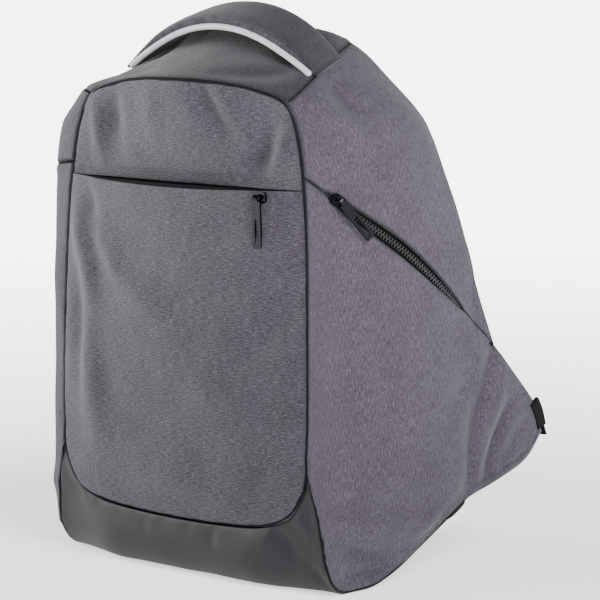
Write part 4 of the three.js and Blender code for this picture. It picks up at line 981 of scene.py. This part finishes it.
class BAG_OT_back(bpy.types.Operator):
    """Build the padded back, the shoulder straps and their webbing"""

    bl_idname = "bag.back"
    bl_label = "Back and straps"

    def execute(self, context):
        finish = materials()
        lines = seam_lines()
        grid = back_surface(lines, 130, 110)
        across, tall = np.abs(grid[..., 0]), grid[..., 2]
        upright = np.exp(-((across - QUILT["across"]) / 5.0) ** 2) * np.clip((QUILT["top"] - tall) / 40, 0, 1)
        rows = sum(np.exp(-((tall - row) / 4.0) ** 2) for row in QUILT["rows"]) * (across > QUILT["across"])
        rim = seam_dip(edge_distance(grid, ALL_EDGES)[0], 8, 3.0)
        grid = grid + grid_normals(grid) * (rim - 2.4 * upright - 1.8 * rows)[..., None]
        back = cloth_object("Padded back", grid, grid[..., FRONT_PLANE], finish["mesh"], BACK_WALL)
        settle(back, "back_mesh", "back_panel")
        for side, turn in TURNS.items():
            self.strap(side, turn, finish)
            self.tab(side, turn, lines["wing"][WING_TAB["rows"]], finish["webbing"])
        return {"FINISHED"}

    def strap(self, side, turn, finish):
        """A padded strap that narrows to its ladder lock, and the lock and webbing under it."""
        z = FRONT_HEIGHT * STRAP_LINE["height"]
        points = np.stack([HALF_WIDTH * STRAP_LINE["across"], BODY_DEPTH * STRAP_LINE["depth"], z], -1)
        points[0, 1] = back_depth(z[0] - STRAP["thick"] * STRAP_LINE["thick"][0]) + 0.9
        count = 110
        line = divided(points, count) * turn
        at = np.linspace(0, len(z) - 1, count + 1)
        share = np.interp(at, np.arange(len(z)), STRAP_LINE["thick"])
        narrow = eased(np.clip((at - (len(z) - 1 - STRAP["narrow_rows"])) / STRAP["narrow_rows"], 0, 1))
        widths = STRAP["width"] * (1 - narrow) + STRAP["end_width"] * narrow
        splay = STRAP["splay"] * eased(np.linspace(0, 1, count + 1))
        way = unit(np.stack([np.full(count + 1, turn[0]), splay, np.full(count + 1, STRAP["tilt"])], -1))
        ahead = heading(line)
        way = unit(way - ahead * np.sum(way * ahead, axis=1, keepdims=True))

        def rim(along, wide, thick):
            edge = np.exp(-((np.abs(wide) - 0.86) / 0.05) ** 2)
            return -0.9 * edge * np.sign(thick) * (np.abs(thick) > 0.3) * (along > 4)

        piece = sweep(f"Shoulder strap {side}", line, way, widths, STRAP["thick"] * share, finish["mesh"], 4.0,
                      56, shape=rim)
        settle(piece, "back_mesh", f"shoulder_strap_{side}")
        for node, look, slot_name, edge in (("ladder_lock", "plastic", "black_plastic", 0.6),
                                            ("strap_webbing", "binding", "black_webbing", 0.35)):
            paint(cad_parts[f"{node}_{side}"], finish[look])
            soften(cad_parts[f"{node}_{side}"], edge)

    def tab(self, side, turn, edge, finish):
        """The folded tab on the wing's rear edge that the webbing is sewn to."""
        ahead = heading(edge)
        out = unit(np.stack([np.zeros(len(edge)), ahead[:, 2], -ahead[:, 1]], -1))
        ones = np.ones(len(edge))
        piece = sweep(f"Wing tab {side}", (edge - out) * turn, out * turn, WING_TAB["width"] * ones,
                      WING_TAB["thick"] * ones, finish, 5.0, 32)
        settle(piece, "black_webbing", f"wing_tab_{side}")


class BAG_OT_handle(bpy.types.Operator):
    """Build the padded carry handle and the light cord under its front edge"""

    bl_idname = "bag.handle"
    bl_label = "Carry handle"

    def execute(self, context):
        finish = materials()
        lines = seam_lines()
        shoulder = lines["shoulder"]
        tilt = math.atan(CROWN_LIFT / (shoulder[-1][1] - lines["front"][-1][1]))
        count = 140
        end_height = along_rows(shoulder, (len(shoulder) - 1) * HANDLE["seat"])[0][2] + HANDLE["lift"]
        u = np.linspace(-1, 1, count + 1)
        arch = np.abs(u) ** HANDLE["arch"]
        z = HANDLE["rise"] * (1 - arch) + end_height * arch
        ones = np.ones(count + 1)
        line = np.stack([HANDLE["span"] * u - HANDLE["sway"] * (1 - u * u), HANDLE["setback"] * ones, z], -1)
        width = bpy.context.scene.bag_looks.handle_width * 1000
        splay = -HANDLE["splay"] * u * np.abs(u)
        across = unit(np.stack([splay, math.cos(tilt) * ones, math.sin(tilt) * ones], -1))
        full = eased(np.minimum((HANDLE["span"] - np.abs(line[:, 0])) / HANDLE["taper"], 1))
        thick = HANDLE["end_thick"] * (1 - full) + HANDLE["thick"] * full

        def seams(along, wide, thin):
            thread = np.exp(-((wide - 0.5) / 0.045) ** 2)
            wobble = 0.25 * np.sin(along / 4.3 + 2 * np.sin(along / 17.0)) * np.exp(-((wide - 0.5) / 0.2) ** 2)
            return (wobble - 1.5 * thread) * (thin > 0.2)

        # Painted shade along the handle's stitched groove and at its two ends.
        def dark(along, wide, thin):
            stitched = 0.8 * np.exp(-((wide - 0.5) / 0.04) ** 2) * (thin > 0.2)
            ends = np.exp(-(np.minimum(along, along[-1] - along) / 2.2) ** 2)
            return np.clip(stitched + ends, 0, 1)

        handle = sweep("Carry handle", line, across, width * ones, thick, finish["top"], 3.4, 96, seams, dark)
        settle(handle, "grey_cloth", "carry_handle")
        up = unit(np.cross(across, heading(line)))
        up[up[:, 2] < 0] *= -1
        turned = HANDLE_CORD["turned"]
        cord_line = line + across * (-width * 0.47 - turned * 0.75)
        cord_line = cord_line + up * (-thick[:, None] * 0.22 - turned * 0.62)

        def ribs(along):
            return 1 + HANDLE_CORD["rib_height"] * np.sin(along * 2 * math.pi / HANDLE_CORD["rib"])

        cord = tube("Handle cord", divided(cord_line[3:-3], 540), HANDLE_CORD["radius"], finish["cord"], 14,
                    wave=ribs)
        settle(cord, "light_cord", "handle_piping")
        return {"FINISHED"}


def zip_pieces(title, line, outward, width, replaced, finish, chain=5.0):
    """A tape with two rows of interlocking teeth standing on it."""
    ahead = heading(line)
    wide = unit(np.cross(outward, ahead))
    shares = np.array([-1, -0.35, -0.2, 0.2, 0.35, 1]) * width / 2
    lifts = np.array([0, 0, 0.5, 0.5, 0, 0])
    grid = line[:, None] + wide[:, None] * shares[None, :, None] + outward[:, None] * lifts[None, :, None]
    along = run_length(line)
    uv = np.stack(np.broadcast_arrays(along[:, None], shares[None]), -1)
    behind = line.mean(0) - outward.mean(0) * 50
    settle(cloth_object(title, grid, uv, finish["tape"], TAPE_WALL, behind), "zip_tape", replaced)
    at = np.interp(np.arange(int(along[-1] / TEETH_PITCH)) * TEETH_PITCH + 0.4, along, np.arange(len(line)))
    low = np.floor(at).astype(int)
    part = (at - low)[:, None]
    spots = line[low] * (1 - part) + line[np.minimum(low + 1, len(line) - 1)] * part
    inner, outer = -0.35, chain / 2
    vertices, faces = [], []
    for k, (spot, up, over, on) in enumerate(zip(spots, outward[low], wide[low], ahead[low])):
        side = 1 if k % 2 else -1
        first = len(vertices)
        for lift, shrink in ((0.45, 1.0), (1.35, 0.6)):
            for reach, end in ((inner, -1), (outer, -1), (outer, 1), (inner, 1)):
                vertices.append(spot + over * side * reach + on * end * 0.42 * shrink + up * lift)
        faces += [tuple(first + corner for corner in quad) for quad in (
            (4, 5, 6, 7), (0, 1, 5, 4), (1, 2, 6, 5), (2, 3, 7, 6), (3, 0, 4, 7))]
    settle(make_object(f"{title} teeth", np.array(vertices), faces, finish["teeth"], smooth=False), "zip_tape")


class BAG_OT_zips(bpy.types.Operator):
    """Build the four zips, and finish their sliders and pullers"""

    bl_idname = "bag.zips"
    bl_label = "Zips"

    def execute(self, context):
        finish = materials()
        lines = seam_lines()
        slant = lines["slant"]
        run = on_side(along_rows(slant, (len(slant) - 1) * np.linspace(TAPE_START, TAPE_END, 90)))
        normal = side_normal(run[:, 1], run[:, 2])
        deep = CLOTH + TAPE_GAP + TAPE_THICK
        width = context.scene.bag_looks.side_mouth * 1000 + SIDE_TAPE_LAP
        for side, turn in TURNS.items():
            line = filled((run - normal * (deep - TAPE_RAISED)) * turn)
            zip_pieces(f"Side zip {side}", line, normal * turn, width, f"side_zip_{side}", finish)
        mouth = mouth_line(lines, POCKET_MOUTH + UPPER_BULGE, POCKET_DIP, 96)[2:-2]
        height = mouth_corner(lines)[2] - POCKET_ZIP_DROP
        line = np.stack([mouth[:, 0], mouth[:, 1] + deep, np.full(len(mouth), height)], -1)
        out = np.tile([0.0, -1.0, 0.0], (len(line), 1))
        zip_pieces("Pocket zip", line, out, POCKET_TAPE, "pocket_zip", finish, 4.0)
        z = FRONT_HEIGHT * MAIN_ZIP["height"]
        y = back_depth(z) + MAIN_ZIP_STANDOFF
        half = np.stack([(side_x(y, z) - MAIN_ZIP_INSET) * MAIN_ZIP["across"], y, z], -1)
        run = divided(np.concatenate([mirrored(half), half[:-1][::-1]]), 260)
        slope = (back_depth(run[:, 2] + 1) - back_depth(run[:, 2] - 1)) / 2
        out = unit(np.stack([np.zeros(len(run)), np.ones(len(run)), -slope], -1))
        zip_pieces("Main zip", run, out, MAIN_TAPE, "main_zip", finish)
        for node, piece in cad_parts.items():
            if node.endswith(("_slider", "_puller")):
                paint(piece, finish["metal"])
                soften(piece, 0.3)
        return {"FINISHED"}


class BAG_OT_stage(bpy.types.Operator):
    """Set up the pale floor, the soft light and the camera"""

    bl_idname = "bag.stage"
    bl_label = "Stage"

    def execute(self, context):
        material, tree, shader = principled("Pale floor")
        place = tree.nodes.new("ShaderNodeTexCoord").outputs["Object"]
        patches = noise_node(tree, place, (3, 3, 3), 3)
        pale = mix_colour(tree, patches, (0.86, 0.86, 0.87), (0.90, 0.90, 0.90))
        tree.links.new(pale, shader.inputs["Base Color"])
        set_values(shader, Roughness=0.9, Specular_IOR_Level=0.1, Emission_Color=(1, 1, 1, 1))
        # The floor's own glow grows with the distance from the bag.
        reach = tree.nodes.new("ShaderNodeVectorMath")
        reach.operation = "LENGTH"
        tree.links.new(place, reach.inputs[0])
        beyond = math_node(tree, "SUBTRACT", reach.outputs["Value"], 0.4)
        share = math_node(tree, "MULTIPLY", beyond, 0.45, clamp=True)
        glow = math_node(tree, "ADD", math_node(tree, "MULTIPLY", share, 5.0), 1.05)
        tree.links.new(glow, shader.inputs["Emission Strength"])
        half = 40
        mesh = bpy.data.meshes.new("Floor")
        mesh.from_pydata([(x * half, y * half, -0.0004) for x, y in ((-1, -1), (1, -1), (1, 1), (-1, 1))], [],
                         [(0, 1, 2, 3)])
        mesh.materials.append(material)
        add_object("Floor", mesh)
        world = bpy.data.worlds.new("Soft room")
        world.use_nodes = True
        set_values(world.node_tree.nodes["Background"], Color=(1, 1, 1, 1), Strength=0.18)
        bpy.context.scene.world = world
        target = Vector((0.0265, -0.0172, 0.204))
        for title, place, size, power in (
                ("Left light", (-2.45, -0.9, 0.9), 1.1, 108.0), ("Right light", (2.4, -0.7, 1.7), 1.3, 125.0),
                ("Front light", (0.6, -2.4, 1.5), 1.6, 2.0), ("Rear light", (-0.6, 2.2, 2.0), 1.6, 4.0)):
            light = bpy.data.lights.new(title, "AREA")
            light.size = size
            light.energy = power
            lamp = add_object(title, light)
            lamp.location = place
            lamp.rotation_mode = "QUATERNION"
            lamp.rotation_quaternion = (target - Vector(place)).to_track_quat("-Z", "Y")
        azimuth, elevation, distance = math.radians(45.0), math.radians(6.5), 2.6
        back = Vector((math.sin(azimuth) * math.cos(elevation), -math.cos(azimuth) * math.cos(elevation),
                       math.sin(elevation)))
        view = bpy.data.cameras.new("Camera")
        view.sensor_width = 36
        view.lens = 201.24
        view.clip_end = 50
        camera = add_object("Camera", view)
        camera.location = target + back * distance
        camera.rotation_mode = "QUATERNION"
        camera.rotation_quaternion = (-back).to_track_quat("-Z", "Y")
        bpy.context.scene.camera = camera
        return {"FINISHED"}


def colour(name, description, code):
    return bpy.props.FloatVectorProperty(name=name, description=description, subtype="COLOR", size=3, min=0,
                                         max=1, default=linear(code))


def strength(name, description, default):
    return bpy.props.FloatProperty(name=name, description=description, subtype="FACTOR", min=0, max=3,
                                   default=default)


def size(name, description, millimetres, highest):
    return bpy.props.FloatProperty(name=name, description=description, subtype="DISTANCE", unit="LENGTH",
                                   min=0, max=highest / 1000, default=millimetres / 1000)


class BagLooks(bpy.types.PropertyGroup):
    """What a user of the bag would change"""

    belly: size("Pocket belly", "How far the filled pocket panel stands out", FRONT_BULGE, 20)
    side_mouth: size("Side zip mouth", "How far the side zips gape in their middle", SIDE_MOUTH, 14)
    handle_width: size("Handle width", "Width of the padded carry handle", HANDLE["width"], 50)
    yarn_light: colour("Light yarn", "Lighter thread of the grey cloth", "4e4953")
    yarn_dark: colour("Dark yarn", "Darker thread of the grey cloth", "201c23")
    base: colour("Base", "Coated cloth of the base", "1b1c1f")
    seam: colour("Seams", "Binding in the seams", "131215")
    cord: colour("Handle cord", "Ribbed cord under the handle's front edge", "ced2d6")
    black: colour("Black parts", "Zips, webbing, metal and plastic", "101012")
    streaks: strength("Streaks", "Contrast between the two yarns", 1.3)
    folds: strength("Folds", "Strength of the cloth's folds", 1.9)


class BAG_PT_panel(bpy.types.Panel):
    """The bag's operators and looks in the sidebar"""

    bl_label = "Backpack"
    bl_idname = "BAG_PT_panel"
    bl_space_type = "VIEW_3D"
    bl_region_type = "UI"
    bl_category = "Backpack"

    def draw(self, context):
        for name in BagLooks.__annotations__:
            self.layout.prop(context.scene.bag_looks, name)
        for operator in (BAG_OT_panels, BAG_OT_back, BAG_OT_handle, BAG_OT_zips, BAG_OT_stage):
            self.layout.operator(operator.bl_idname)


CLASSES = (BagLooks, BAG_OT_panels, BAG_OT_back, BAG_OT_handle, BAG_OT_zips, BAG_OT_stage, BAG_PT_panel)


def register():
    for cls in CLASSES:
        bpy.utils.register_class(cls)
    bpy.types.Scene.bag_looks = bpy.props.PointerProperty(type=BagLooks)


def unregister():
    del bpy.types.Scene.bag_looks
    for cls in reversed(CLASSES):
        bpy.utils.unregister_class(cls)


def main():
    register()
    bpy.ops.bag.panels()
    bpy.ops.bag.back()
    bpy.ops.bag.handle()
    bpy.ops.bag.zips()
    bpy.ops.bag.stage()


if __name__ == "__main__":
    main()
